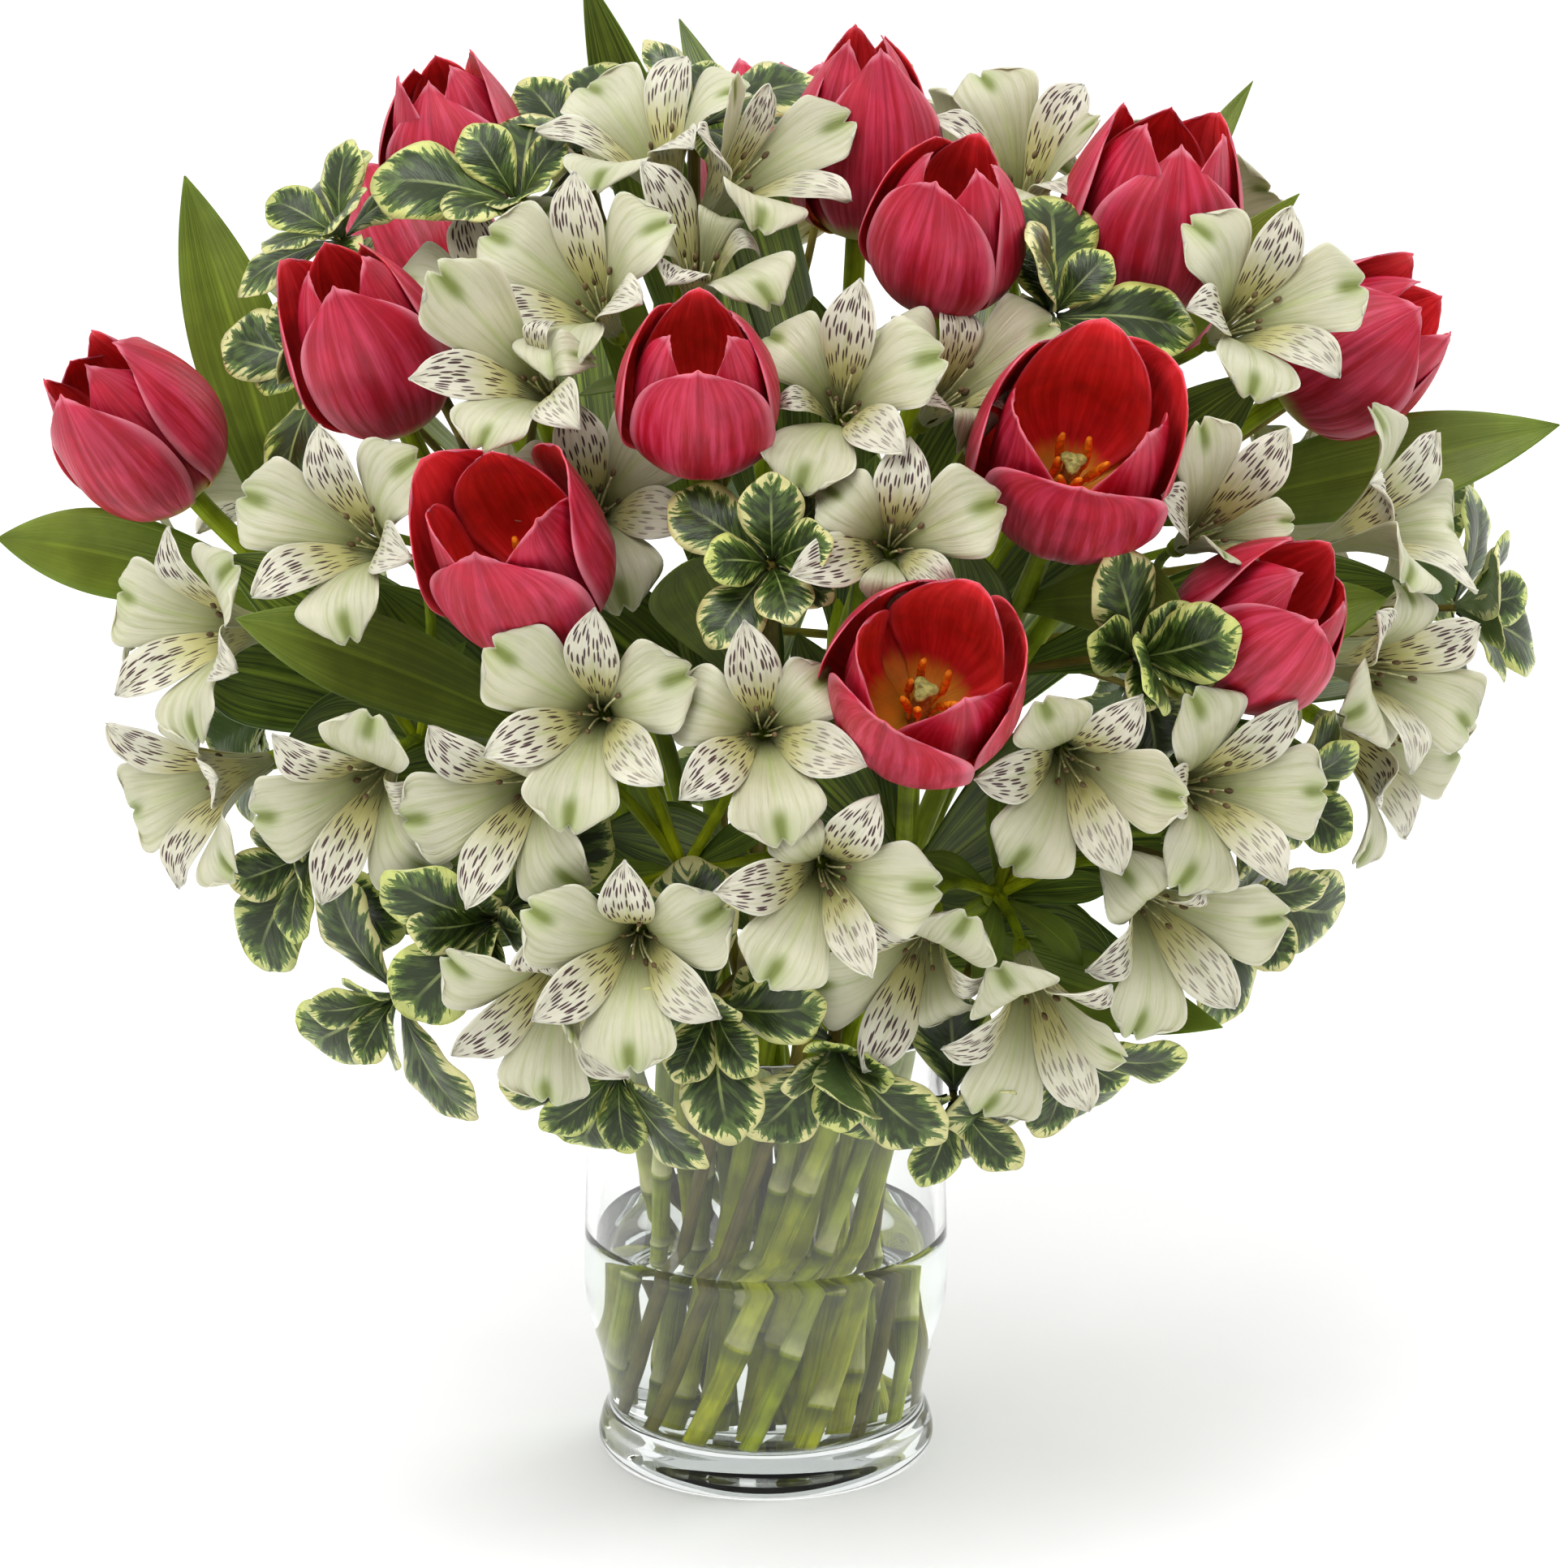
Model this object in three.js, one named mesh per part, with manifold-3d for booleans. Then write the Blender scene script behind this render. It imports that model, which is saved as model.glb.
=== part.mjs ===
// A round spring bouquet in a clear glass vase: red tulips, white alstroemerias and
// variegated pittosporum, standing in water.
//
// Millimetres, +Z up. The origin is the centre of the vase's flat underside, and the side
// of the bouquet that is looked at first faces -Y.
//
// Every stem is a straight spoke through the neck of the vase, twisted about the vase's axis
// like the stems of a hand-tied spiral, so that no two of them meet. Above the rim each stem
// bends to its own flower. Petals and leaves are thin closed sheets that are fused to what
// they grow from. Where two plants would cross, the softer one is trimmed clear of the other.
import * as THREE from 'three';
import { mergeVertices } from 'three/addons/utils/BufferGeometryUtils.js';
import Module from 'manifold-3d';

const wasm = await Module();
wasm.setup();

// ---------------------------------------------------------------------------------------
// Driving dimensions
// ---------------------------------------------------------------------------------------

const GAP = 0.3; // air between two pieces that touch on the real thing
const UP = new THREE.Vector3(0, 0, 1);
const DEGREE = Math.PI / 180;

// the vase: a thick round foot, a waist, a full belly and a slightly flared lip
const VASE_SIDES = 32;
const FLOOR_Z = 9; // inner floor, over a thick glass bottom
const LIP_Z = 122;
const VASE_OUTSIDE = [[0, 0], [41, 0], [44.5, 6], [41.5, 15], [48, 43], [46.6, 96], [49, LIP_Z - 1]];
const VASE_INSIDE = [[46.8, LIP_Z], [43.6, 96], [45, 44], [38.5, 16], [34, FLOOR_Z], [0, FLOOR_Z]];
const WATER_Z = 62;
const WATER_RADIUS = 44.2; // at its surface
const WATER_SIDES = 20;

// the stems: where they pass the neck and how they stand on the floor of the vase
const NECK_Z = 112;
const NECK = new THREE.Vector3(0, 0, NECK_Z);
const SPIRAL = 68 * DEGREE; // turn of every stem between the floor and the neck
const FOOT_SPREAD = 0.84; // radius at the floor over radius at the neck
const SEATS = [1, 6, 12, 14]; // stems in each ring at the neck, from the middle outwards
const RING_STEP = 12.5; // from one ring to the next
const STEM_SIDES = 5;
const STEM_STEPS = 5;

const TULIP_STEM = 3; // radius
const ALSTROEMERIA_STEM = 2.4;
const WOOD_STEM = 1.9;
const TWIG = 1.1;
const PEDICEL = 1.3;

const PETAL_THICK = 1.0;
const TEPAL_THICK = 0.9;
const LEAF_THICK = 0.9;

// ---------------------------------------------------------------------------------------
// Layout, read off the photograph flower by flower
// ---------------------------------------------------------------------------------------

// tulips: middle of the bloom, where it faces, its height and width, how open it is
// (0 shut, 1 wide open) and how far it is turned about its own axis in degrees
const TULIPS = [
  { at: [-78, -14, 355], face: [-0.25, -0.2, 1], high: 39, wide: 36, open: 0.12, turn: 20 },
  { at: [-158, -30, 285], face: [-0.55, -0.35, 0.8], high: 47, wide: 41, open: 0.22, turn: 0 },
  { at: [-96, -84, 319], face: [-0.35, -0.4, 0.95], high: 49, wide: 38, open: 0.26, turn: 35 },
  { at: [-58, -137, 280], face: [-0.3, -0.65, 0.8], high: 48, wide: 44, open: 0.62, turn: 15 },
  { at: [-15, -130, 318], face: [0, -0.55, 0.85], high: 41, wide: 38, open: 0.38, turn: 30 },
  { at: [24, -32, 359], face: [0.05, -0.12, 1], high: 50, wide: 37, open: 0.1, turn: 50 },
  { at: [44, -90, 348], face: [0.12, -0.4, 0.9], high: 41, wide: 38, open: 0.28, turn: 5 },
  { at: [96, -42, 343], face: [0.2, -0.25, 1], high: 47, wide: 45, open: 0.26, turn: 40 },
  { at: [74, -122, 301], face: [0.12, -0.75, 0.7], high: 51, wide: 49, open: 0.78, turn: 25 },
  { at: [149, -18, 302], face: [0.85, -0.2, 0.62], high: 45, wide: 42, open: 0.3, turn: 10 },
  { at: [120, -114, 257], face: [0.6, -0.5, 0.65], high: 42, wide: 40, open: 0.32, turn: 30 },
  { at: [38, -157, 254], face: [0.08, -0.8, 0.6], high: 43, wide: 46, open: 0.74, turn: 0 },
  { at: [-92, 92, 306], face: [-0.5, 0.6, 0.8], high: 47, wide: 40, open: 0.28, turn: 10 },
  { at: [2, 112, 326], face: [0, 0.55, 0.85], high: 48, wide: 42, open: 0.45, turn: 40 },
  { at: [104, 84, 298], face: [0.55, 0.6, 0.7], high: 47, wide: 41, open: 0.25, turn: 20 },
];

// alstroemerias: for each spray its blooms, each with the middle of its face, where it
// faces and its turn in degrees
const ALSTROEMERIAS = [
  { name: 'top', blooms: [
    [-30, -48, 366, -0.3, -0.35, 0.9, 0], [-1, -62, 362, 0.5, -0.5, 0.75, 40],
    [-46, -98, 338, -0.35, -0.7, 0.65, 15], [-14, -84, 346, 0.1, -0.5, 0.8, 70]] },
  { name: 'upper_left', blooms: [
    [-70, -62, 330, -0.4, -0.4, 0.8, 30], [-58, -118, 322, -0.3, -0.8, 0.55, 0],
    [-40, -116, 288, 0, -0.9, 0.4, 45]] },
  { name: 'upper_middle', blooms: [
    [16, -128, 318, -0.1, -0.85, 0.5, 10], [50, -112, 318, 0.4, -0.7, 0.6, 50],
    [30, -148, 286, 0, -0.95, 0.35, 20]] },
  { name: 'upper_right', blooms: [
    [66, -32, 357, 0.1, -0.55, 0.85, 0], [122, -72, 326, 0.4, -0.75, 0.5, 30],
    [56, 48, 344, 0.25, 0.5, 0.85, 15], [114, 36, 333, 0.6, 0.45, 0.7, 60]] },
  { name: 'right', blooms: [
    [112, -112, 282, 0.4, -0.8, 0.45, 15], [160, -62, 272, 0.85, -0.35, 0.45, 40],
    [159, -85, 237, 0.7, -0.7, 0.15, 0], [160, -66, 206, 0.8, -0.5, -0.35, 55]] },
  { name: 'lower_right', blooms: [
    [112, -132, 220, 0.45, -0.85, 0.2, 20], [74, -150, 228, 0.1, -1, 0, 0],
    [99, -138, 185, 0.4, -0.85, -0.25, 35], [67, -147, 163, 0.15, -0.85, -0.45, 10],
    [36, -155, 178, -0.15, -0.9, -0.35, 50]] },
  { name: 'middle', blooms: [
    [-42, -158, 246, -0.15, -0.95, 0.25, 15], [0, -162, 244, 0, -0.95, 0.3, 40],
    [14, -170, 208, 0, -1, 0.1, 0], [-32, -166, 188, -0.1, -1, 0, 25],
    [-62, -152, 222, -0.4, -0.9, -0.05, 50], [-53, -154, 170, -0.3, -0.85, -0.45, 5]] },
  { name: 'left', blooms: [
    [-102, -119, 281, -0.45, -0.8, 0.4, 20], [-141, -97, 250, -0.75, -0.65, 0.15, 0],
    [-143, -93, 208, -0.75, -0.65, -0.1, 35], [-98, -139, 218, -0.3, -0.95, -0.15, 55]] },
  { name: 'back_left', blooms: [
    [-40, 80, 340, -0.3, 0.55, 0.8, 10], [-62, 134, 284, -0.4, 0.85, 0.45, 40],
    [-134, 80, 248, -0.75, 0.6, 0.3, 0], [-64, 140, 218, -0.35, 0.9, 0, 50],
    [-160, 12, 236, -0.95, 0.1, 0.15, 15]] },
  { name: 'back_right', blooms: [
    [52, 96, 330, 0.3, 0.6, 0.75, 20], [56, 142, 262, 0.35, 0.9, 0.3, 0],
    [142, 74, 236, 0.8, 0.5, 0.1, 45], [66, 136, 200, 0.35, 0.9, -0.15, 10],
    [164, 18, 218, 0.95, 0.15, 0, 60]] },
];

// pittosporum: for each sprig the middles of its whorls of leaves and where each faces;
// the first whorl ends the main stem
const PITTOSPORUMS = [
  { name: 'upper_left', whorls: [
    [-110, -28, 339, -0.5, -0.4, 0.8], [-115, -46, 307, -0.8, -0.5, 0.5],
    [-62, -52, 352, -0.2, -0.6, 0.8]] },
  { name: 'top', whorls: [
    [-17, -14, 366, 0.05, -0.3, 1], [-49, -18, 360, -0.3, -0.4, 1], [16, 50, 345, 0.1, 0.4, 1]] },
  { name: 'centre', whorls: [
    [2, -146, 282, 0, -0.85, 0.5], [72, -84, 330, 0.3, -0.7, 0.7], [92, -130, 252, 0.4, -0.85, 0.2]] },
  { name: 'right', whorls: [
    [156, 52, 286, 0.8, 0.4, 0.5], [184, -22, 236, 0.9, -0.3, 0.1], [170, 58, 238, 0.8, 0.5, 0.1]] },
  { name: 'lower_right', whorls: [
    [120, -112, 184, 0.6, -0.75, -0.2], [77, -126, 146, 0.4, -0.7, -0.6],
    [47, -132, 135, 0.1, -0.8, -0.5], [130, -104, 210, 0.7, -0.7, -0.1]] },
  { name: 'lower_middle', whorls: [
    [17, -147, 154, 0, -0.85, -0.5], [-14, -152, 168, -0.2, -0.95, -0.2],
    [-38, -129, 141, -0.3, -0.8, -0.6]] },
  { name: 'lower_left', whorls: [
    [-95, -120, 159, -0.6, -0.7, -0.4], [-67, -143, 188, -0.3, -0.9, -0.1],
    [-140, 44, 188, -0.9, 0.3, -0.3], [-118, -94, 189, -0.7, -0.65, -0.2]] },
  { name: 'back', whorls: [
    [0, 152, 240, 0, 0.95, 0.2], [-112, 110, 190, -0.6, 0.7, -0.4], [104, 112, 176, 0.5, 0.7, -0.4],
    [0, 138, 158, 0, 0.8, -0.6]] },
];

// the way that leaves turned to the front of the bouquet face
const FRONT = [0, -1, 0.35];

// long plain leaves: the stem that carries one, where on it (0 neck, 1 flower), the tip,
// the width, how far the blade arches up, and where it faces if not away from the neck
const LONG_LEAVES = [
  { on: 'tulip_14', from: 0.6, tip: [-46, 20, 391], wide: 20, arch: 4, face: FRONT },
  { on: 'tulip_02', from: 0.75, tip: [-147, 8, 341], wide: 24, arch: -4, face: FRONT },
  { on: 'tulip_02', from: 0.72, tip: [-193, -30, 256], wide: 22, arch: 14, face: FRONT },
  { on: 'tulip_10', from: 0.74, tip: [201, -12, 281], wide: 24, arch: 12, face: FRONT },
  { on: 'tulip_04', from: 0.62, tip: [-125, -124, 267], wide: 22, arch: 10, face: FRONT },
  { on: 'tulip_09', from: 0.75, tip: [105, -136, 264], wide: 20, arch: 12, face: FRONT },
  { on: 'tulip_05', from: 0.6, tip: [-31, -134, 284], wide: 22, arch: 12, face: FRONT },
  { on: 'alstroemeria_top', from: 0.7, tip: [-45, -64, 360], wide: 13, arch: 6, face: FRONT },
  { on: 'alstroemeria_upper_right', from: 0.75, tip: [134, -10, 340], wide: 16, arch: 8, face: FRONT },
  { on: 'tulip_08', from: 0.7, tip: [109, 6, 371], wide: 12, arch: 6, face: FRONT },
  { on: 'alstroemeria_lower_right', from: 0.7, tip: [98, -134, 158], wide: 18, arch: 10, face: FRONT },
  { on: 'alstroemeria_right', from: 0.76, tip: [152, -70, 262], wide: 18, arch: 10, face: FRONT },
  { on: 'tulip_13', from: 0.6, tip: [-140, 92, 300], wide: 24, arch: 14 },
  { on: 'tulip_14', from: 0.62, tip: [-20, 150, 320], wide: 24, arch: 16 },
  { on: 'tulip_15', from: 0.6, tip: [150, 88, 268], wide: 24, arch: 14 },
  { on: 'alstroemeria_back_left', from: 0.6, tip: [-152, 84, 196], wide: 22, arch: 14 },
  { on: 'alstroemeria_back_right', from: 0.6, tip: [92, 138, 296], wide: 22, arch: 14 },
  { on: 'tulip_13', from: 0.3, tip: [-112, 128, 222], wide: 28, arch: 22 },
  { on: 'tulip_14', from: 0.3, tip: [4, 158, 204], wide: 28, arch: 24 },
  { on: 'tulip_15', from: 0.3, tip: [112, 122, 208], wide: 28, arch: 22 },
  { on: 'tulip_06', from: 0.55, tip: [-8, 60, 372], wide: 24, arch: 10 },
  { on: 'tulip_08', from: 0.4, tip: [62, 120, 300], wide: 26, arch: 18 },
  { on: 'tulip_01', from: 0.4, tip: [-66, 124, 322], wide: 26, arch: 16 },
  { on: 'tulip_02', from: 0.35, tip: [-172, 48, 212], wide: 26, arch: 22 },
  { on: 'tulip_10', from: 0.35, tip: [176, 56, 196], wide: 26, arch: 22 },
  { on: 'tulip_04', from: 0.45, tip: [-118, -98, 234], wide: 28, arch: 8, face: FRONT },
  { on: 'tulip_04', from: 0.28, tip: [-92, -92, 184], wide: 28, arch: 8, face: FRONT },
  { on: 'tulip_12', from: 0.38, tip: [80, -102, 222], wide: 28, arch: 8, face: FRONT },
  { on: 'tulip_12', from: 0.45, tip: [-10, -112, 238], wide: 26, arch: 8, face: FRONT },
  { on: 'tulip_11', from: 0.35, tip: [126, -70, 196], wide: 28, arch: 8, face: FRONT },
  { on: 'tulip_09', from: 0.45, tip: [46, -90, 272], wide: 28, arch: 8, face: FRONT },
  { on: 'tulip_05', from: 0.45, tip: [-54, -90, 262], wide: 28, arch: 8, face: FRONT },
  { on: 'tulip_03', from: 0.45, tip: [-134, -56, 258], wide: 28, arch: 8, face: FRONT },
  { on: 'tulip_02', from: 0.45, tip: [-150, -40, 216], wide: 28, arch: 8, face: FRONT },
  { on: 'tulip_10', from: 0.5, tip: [160, -36, 246], wide: 28, arch: 8, face: FRONT },
  { on: 'tulip_07', from: 0.5, tip: [66, -58, 306], wide: 26, arch: 8, face: FRONT },
  { on: 'tulip_09', from: 0.26, tip: [84, -82, 186], wide: 28, arch: 8, face: FRONT },
  { on: 'tulip_05', from: 0.26, tip: [-36, -104, 196], wide: 26, arch: 8, face: FRONT },
  { on: 'tulip_11', from: 0.3, tip: [140, -64, 222], wide: 28, arch: 8, face: FRONT },
  { on: 'tulip_08', from: 0.5, tip: [122, -62, 306], wide: 26, arch: 8, face: FRONT },
  { on: 'tulip_05', from: 0.4, tip: [-14, -84, 272], wide: 26, arch: 8, face: FRONT },
  { on: 'tulip_03', from: 0.32, tip: [-96, -74, 256], wide: 28, arch: 8, face: FRONT },
  { on: 'tulip_02', from: 0.3, tip: [-130, -58, 212], wide: 28, arch: 8, face: FRONT },
  { on: 'tulip_12', from: 0.2, tip: [88, -70, 170], wide: 26, arch: 8, face: FRONT },
  { on: 'tulip_06', from: 0.5, tip: [12, -48, 322], wide: 26, arch: 6, face: FRONT },
  { on: 'tulip_12', from: 0.3, tip: [8, -84, 246], wide: 24, arch: 8, face: FRONT },
  { on: 'tulip_09', from: 0.2, tip: [78, -74, 166], wide: 26, arch: 8, face: FRONT },
  { on: 'tulip_02', from: 0.2, tip: [-106, -74, 172], wide: 24, arch: 8, face: FRONT },
];

// ---------------------------------------------------------------------------------------
// Solids
// ---------------------------------------------------------------------------------------

function vector(numbers) {
  return new THREE.Vector3(numbers[0], numbers[1], numbers[2]);
}

function solidOf(geometry) {
  geometry.deleteAttribute('normal');
  geometry.deleteAttribute('uv');
  const merged = mergeVertices(geometry, 1e-4);
  const solid = new wasm.Manifold(new wasm.Mesh({
    numProp: 3,
    vertProperties: new Float32Array(merged.attributes.position.array),
    triVerts: new Uint32Array(merged.index.array),
  }));
  geometry.dispose();
  return solid;
}

function geometryOf(solid) {
  const mesh = solid.getMesh();
  const positions = new Float32Array(mesh.vertProperties);
  const geometry = new THREE.BufferGeometry();
  geometry.setAttribute('position', new THREE.BufferAttribute(positions, 3));
  geometry.setIndex(new THREE.BufferAttribute(new Uint32Array(mesh.triVerts), 1));
  geometry.computeVertexNormals();
  return geometry;
}

function fuse(solids) {
  return solids.reduce((whole, solid) => whole.add(solid));
}

// a solid less another, worked out at once so that the memory of the first can be freed
function cutAway(solid, tool) {
  const rest = solid.subtract(tool);
  rest.volume();
  solid.delete();
  return rest;
}

// the biggest body of a solid, without the scraps that a trim leaves loose
function biggest(solid) {
  const bodies = solid.decompose();
  return bodies.reduce((best, body) => (body.volume() > best.volume() ? body : best));
}

// turns a profile of [radius, height] points about the Z axis
function turned(profile, sides) {
  const points = profile.map(([r, z]) => new THREE.Vector2(r, z));
  const geometry = new THREE.LatheGeometry(points, sides);
  geometry.rotateX(Math.PI / 2);
  return solidOf(geometry);
}

// A closed sheet: both faces are the given triangles, half the thickness to each side of
// the points, and the open edges are joined by a rim. fat widens it on every side, and heart
// is its thickness at the first point. A sheet whose petals leave a ring of roots, which are
// its points from the second on, may run on below them as a stalk along tail.
function sheet(points, faces, { thick, fat = 0, heart = thick, tail = null }) {
  const normals = points.map(() => new THREE.Vector3());
  const middles = points.map(() => new THREE.Vector3());
  const uses = points.map(() => 0);
  const edges = new Map();
  for (const [a, b, c] of faces) {
    const normal = points[b].clone().sub(points[a]).cross(points[c].clone().sub(points[a]));
    const middle = points[a].clone().add(points[b]).add(points[c]).divideScalar(3);
    for (const corner of [a, b, c]) {
      normals[corner].add(normal);
      middles[corner].add(middle);
      uses[corner] += 1;
    }
    for (const [from, to] of [[a, b], [b, c], [c, a]]) {
      if (!edges.delete(`${to},${from}`)) edges.set(`${from},${to}`, [from, to]);
    }
  }
  const rim = [...edges.values()];
  const onRim = new Set(rim.flat());
  const vertices = [];
  for (const side of [1, -1]) {
    points.forEach((point, i) => {
      const half = (i === 0 ? heart : thick) / 2 + fat;
      const place = point.clone().addScaledVector(normals[i].clone().normalize(), side * half);
      if (fat > 0 && onRim.has(i)) {
        const outwards = point.clone().sub(middles[i].clone().divideScalar(uses[i])).normalize();
        place.addScaledVector(outwards, 1.5 * fat);
      }
      vertices.push(place);
    });
  }
  const count = points.length;
  const index = [];
  for (const [a, b, c] of faces) {
    index.push(a, b, c);
    if (!tail || a !== 0) index.push(count + a, count + c, count + b);
  }
  for (const [from, to] of rim) {
    index.push(from, count + from, to, to, count + from, count + to);
  }
  if (tail) addTail(vertices, index, count + 1, tail, fat);
  const geometry = new THREE.BufferGeometry();
  const positions = vertices.flatMap((vertex) => [vertex.x, vertex.y, vertex.z]);
  geometry.setAttribute('position', new THREE.BufferAttribute(new Float32Array(positions), 3));
  geometry.setIndex(index);
  return solidOf(geometry);
}

// Runs the ring of vertices that starts at `ring` on as a tube through the points of the
// tail and closes its end. tail.sides is the number of vertices in that ring, and the tube
// has tail.corners of them, either as many or half as many.
function addTail(vertices, index, ring, tail, fat) {
  let above = tail.points[0].clone().add(UP);
  let last = ring;
  let sides = tail.sides;
  for (const point of tail.points) {
    const back = above.clone().sub(point).normalize();
    const aim = new THREE.Quaternion().setFromUnitVectors(UP, back);
    const first = vertices.length;
    const share = sides / tail.corners;
    for (let j = 0; j < tail.corners; j += 1) {
      const angle = ((j - 0.5 * (2 * tail.corners > tail.sides)) * 2 * Math.PI) / tail.corners;
      const spoke = new THREE.Vector3(Math.cos(angle), Math.sin(angle), 0).applyQuaternion(aim);
      vertices.push(point.clone().addScaledVector(spoke, tail.radius + fat));
    }
    for (let k = 0; k < sides; k += 1) {
      const next = (k + 1) % sides;
      const under = first + Math.floor(k / share);
      const underNext = first + Math.floor(next / share);
      index.push(last + next, last + k, under);
      if (under !== underNext) index.push(last + next, under, underNext);
    }
    above = point;
    last = first;
    sides = tail.corners;
  }
  for (let k = 1; k < sides - 1; k += 1) index.push(last, last + k + 1, last + k);
}

// a tube along a curve, with the same radius all along
function tube(path, radius, sides, steps) {
  const corners = [];
  for (let i = 0; i < sides; i += 1) {
    const angle = (2 * Math.PI * i) / sides;
    corners.push(new THREE.Vector2(radius * Math.cos(angle), radius * Math.sin(angle)));
  }
  const geometry = new THREE.ExtrudeGeometry(new THREE.Shape(corners), {
    steps, extrudePath: path, bevelEnabled: false,
  });
  return solidOf(geometry);
}

// the rotation that turns +Z to a direction, after a turn about +Z
function facing(direction, turn) {
  const aim = new THREE.Quaternion().setFromUnitVectors(UP, direction.clone().normalize());
  return aim.multiply(new THREE.Quaternion().setFromAxisAngle(UP, turn));
}

// ---------------------------------------------------------------------------------------
// Stems: straight in the vase, bent above it
// ---------------------------------------------------------------------------------------

class StemPath extends THREE.Curve {
  constructor(foot, neck, head, face) {
    super();
    const rise = neck.clone().sub(foot).normalize();
    const reach = head.distanceTo(neck);
    this.foot = foot;
    this.bend = new THREE.CubicBezierCurve3(
      neck,
      neck.clone().addScaledVector(rise, 0.35 * reach),
      head.clone().addScaledVector(face, -0.3 * reach),
      head,
    );
  }

  getPoint(t) {
    const straight = 1 / STEM_STEPS;
    if (t < straight) return this.foot.clone().lerp(this.bend.v0, t / straight);
    return this.bend.getPoint((t - straight) / (1 - straight));
  }

  getPointAt(t) {
    return this.getPoint(t);
  }

  getTangentAt(t) {
    return this.getTangent(t);
  }
}

// how far a stem leans out, from the neck of the vase to its flower, and to which side
function leanOf(head) {
  const out = Math.hypot(head.x, head.y);
  return { lean: Math.atan2(out, head.z - NECK_Z), side: Math.atan2(head.y, head.x) };
}

// Gives every stem its seat at the neck: the most upright ones in the middle, the others in
// rings round them, in the order in which their flowers stand round the bouquet.
function seatStems(stems) {
  const order = [...stems].sort((a, b) => leanOf(a.head).lean - leanOf(b.head).lean);
  let first = 0;
  SEATS.forEach((places, ring) => {
    const group = order.slice(first, first + places);
    first += places;
    group.sort((a, b) => leanOf(a.head).side - leanOf(b.head).side);
    const drift = group.map((stem, i) => leanOf(stem.head).side - (2 * Math.PI * i) / places);
    const start = drift.reduce((sum, angle) => sum + angle, 0) / Math.max(group.length, 1);
    group.forEach((stem, i) => {
      const angle = start + (2 * Math.PI * i) / places;
      const radius = ring * RING_STEP;
      const back = angle - SPIRAL;
      const foot = FLOOR_Z + GAP + 0.36 * stem.radius;
      stem.neck = new THREE.Vector3(radius * Math.cos(angle), radius * Math.sin(angle), NECK_Z);
      stem.foot = new THREE.Vector3(
        FOOT_SPREAD * radius * Math.cos(back), FOOT_SPREAD * radius * Math.sin(back), foot);
      stem.path = new StemPath(stem.foot, stem.neck, stem.head, stem.face);
    });
  });
}

// a stem as a tube; a fat one is a cutter and also runs on below the foot
function stemSolid(stem, fat) {
  const down = stem.foot.clone().sub(stem.neck).normalize();
  const foot = stem.foot.clone().addScaledVector(down, 15 * fat);
  const path = new StemPath(foot, stem.neck, stem.head, stem.face);
  return tube(path, stem.radius + fat, STEM_SIDES, STEM_STEPS);
}

// ---------------------------------------------------------------------------------------
// Tulip blooms
// ---------------------------------------------------------------------------------------

const PETAL_ROOT = 2.4; // radius of the seat in which the petals of a tulip stand
const BELLY = 0.45; // height of a petal's widest place, as a part of its length
const WRAP = 58 * DEGREE; // how far a petal reaches round the bloom to each side
const INNER_LAYER = 0.82; // radius of the inner petals, as a part of the outer ones'
const OUTER_ROWS = [0.26, 0.72];
const INNER_ROWS = [0.22, 0.7];
const SEES_PISTIL = 0.4; // a bloom more open than this shows its pistil

// half width of a tulip petal at height v, as a part of its widest
function petalOutline(v) {
  if (v < 0.2) return 0.45;
  if (v < 0.5) return 0.45 + 0.55 * Math.sin((Math.PI / 2) * ((v - 0.2) / 0.3));
  return Math.sqrt(Math.max(0, 1 - ((v - 0.5) / 0.5) ** 2.4));
}

// a point of a tulip's petal: u runs across it from -1 to 1 and v from its root to its tip
function petalPoint(bloom, petal, u, v) {
  const full = (bloom.wide / 2) * petal.layer;
  const tip = 0.2 + 0.86 * bloom.open + petal.flare;
  let part = 1 + (tip - 1) * ((v - BELLY) / (1 - BELLY)) ** 2;
  if (v < BELLY) part = Math.sqrt(1 - (1 - v / BELLY) ** 2);
  const across = u * petalOutline(v);
  const radius = (PETAL_ROOT + (full - PETAL_ROOT) * part) * (1 + 0.05 * across);
  const angle = petal.angle + WRAP * across;
  const height = bloom.high * petal.long * v ** 1.1;
  return new THREE.Vector3(radius * Math.cos(angle), radius * Math.sin(angle), height);
}

// the six petals of a bloom: three outside and three between them inside
function petalsOf(bloom) {
  const petals = [];
  for (let k = 0; k < 6; k += 1) {
    const inside = k % 2;
    const sway = Math.sin(2.3 * k + bloom.turn);
    petals.push({
      angle: k * 60 * DEGREE,
      inside,
      layer: inside ? INNER_LAYER : 1,
      flare: 0.09 * sway + (inside ? 0 : 0.05),
      long: inside ? 1 : 0.97 + 0.03 * sway,
    });
  }
  return petals;
}

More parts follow.
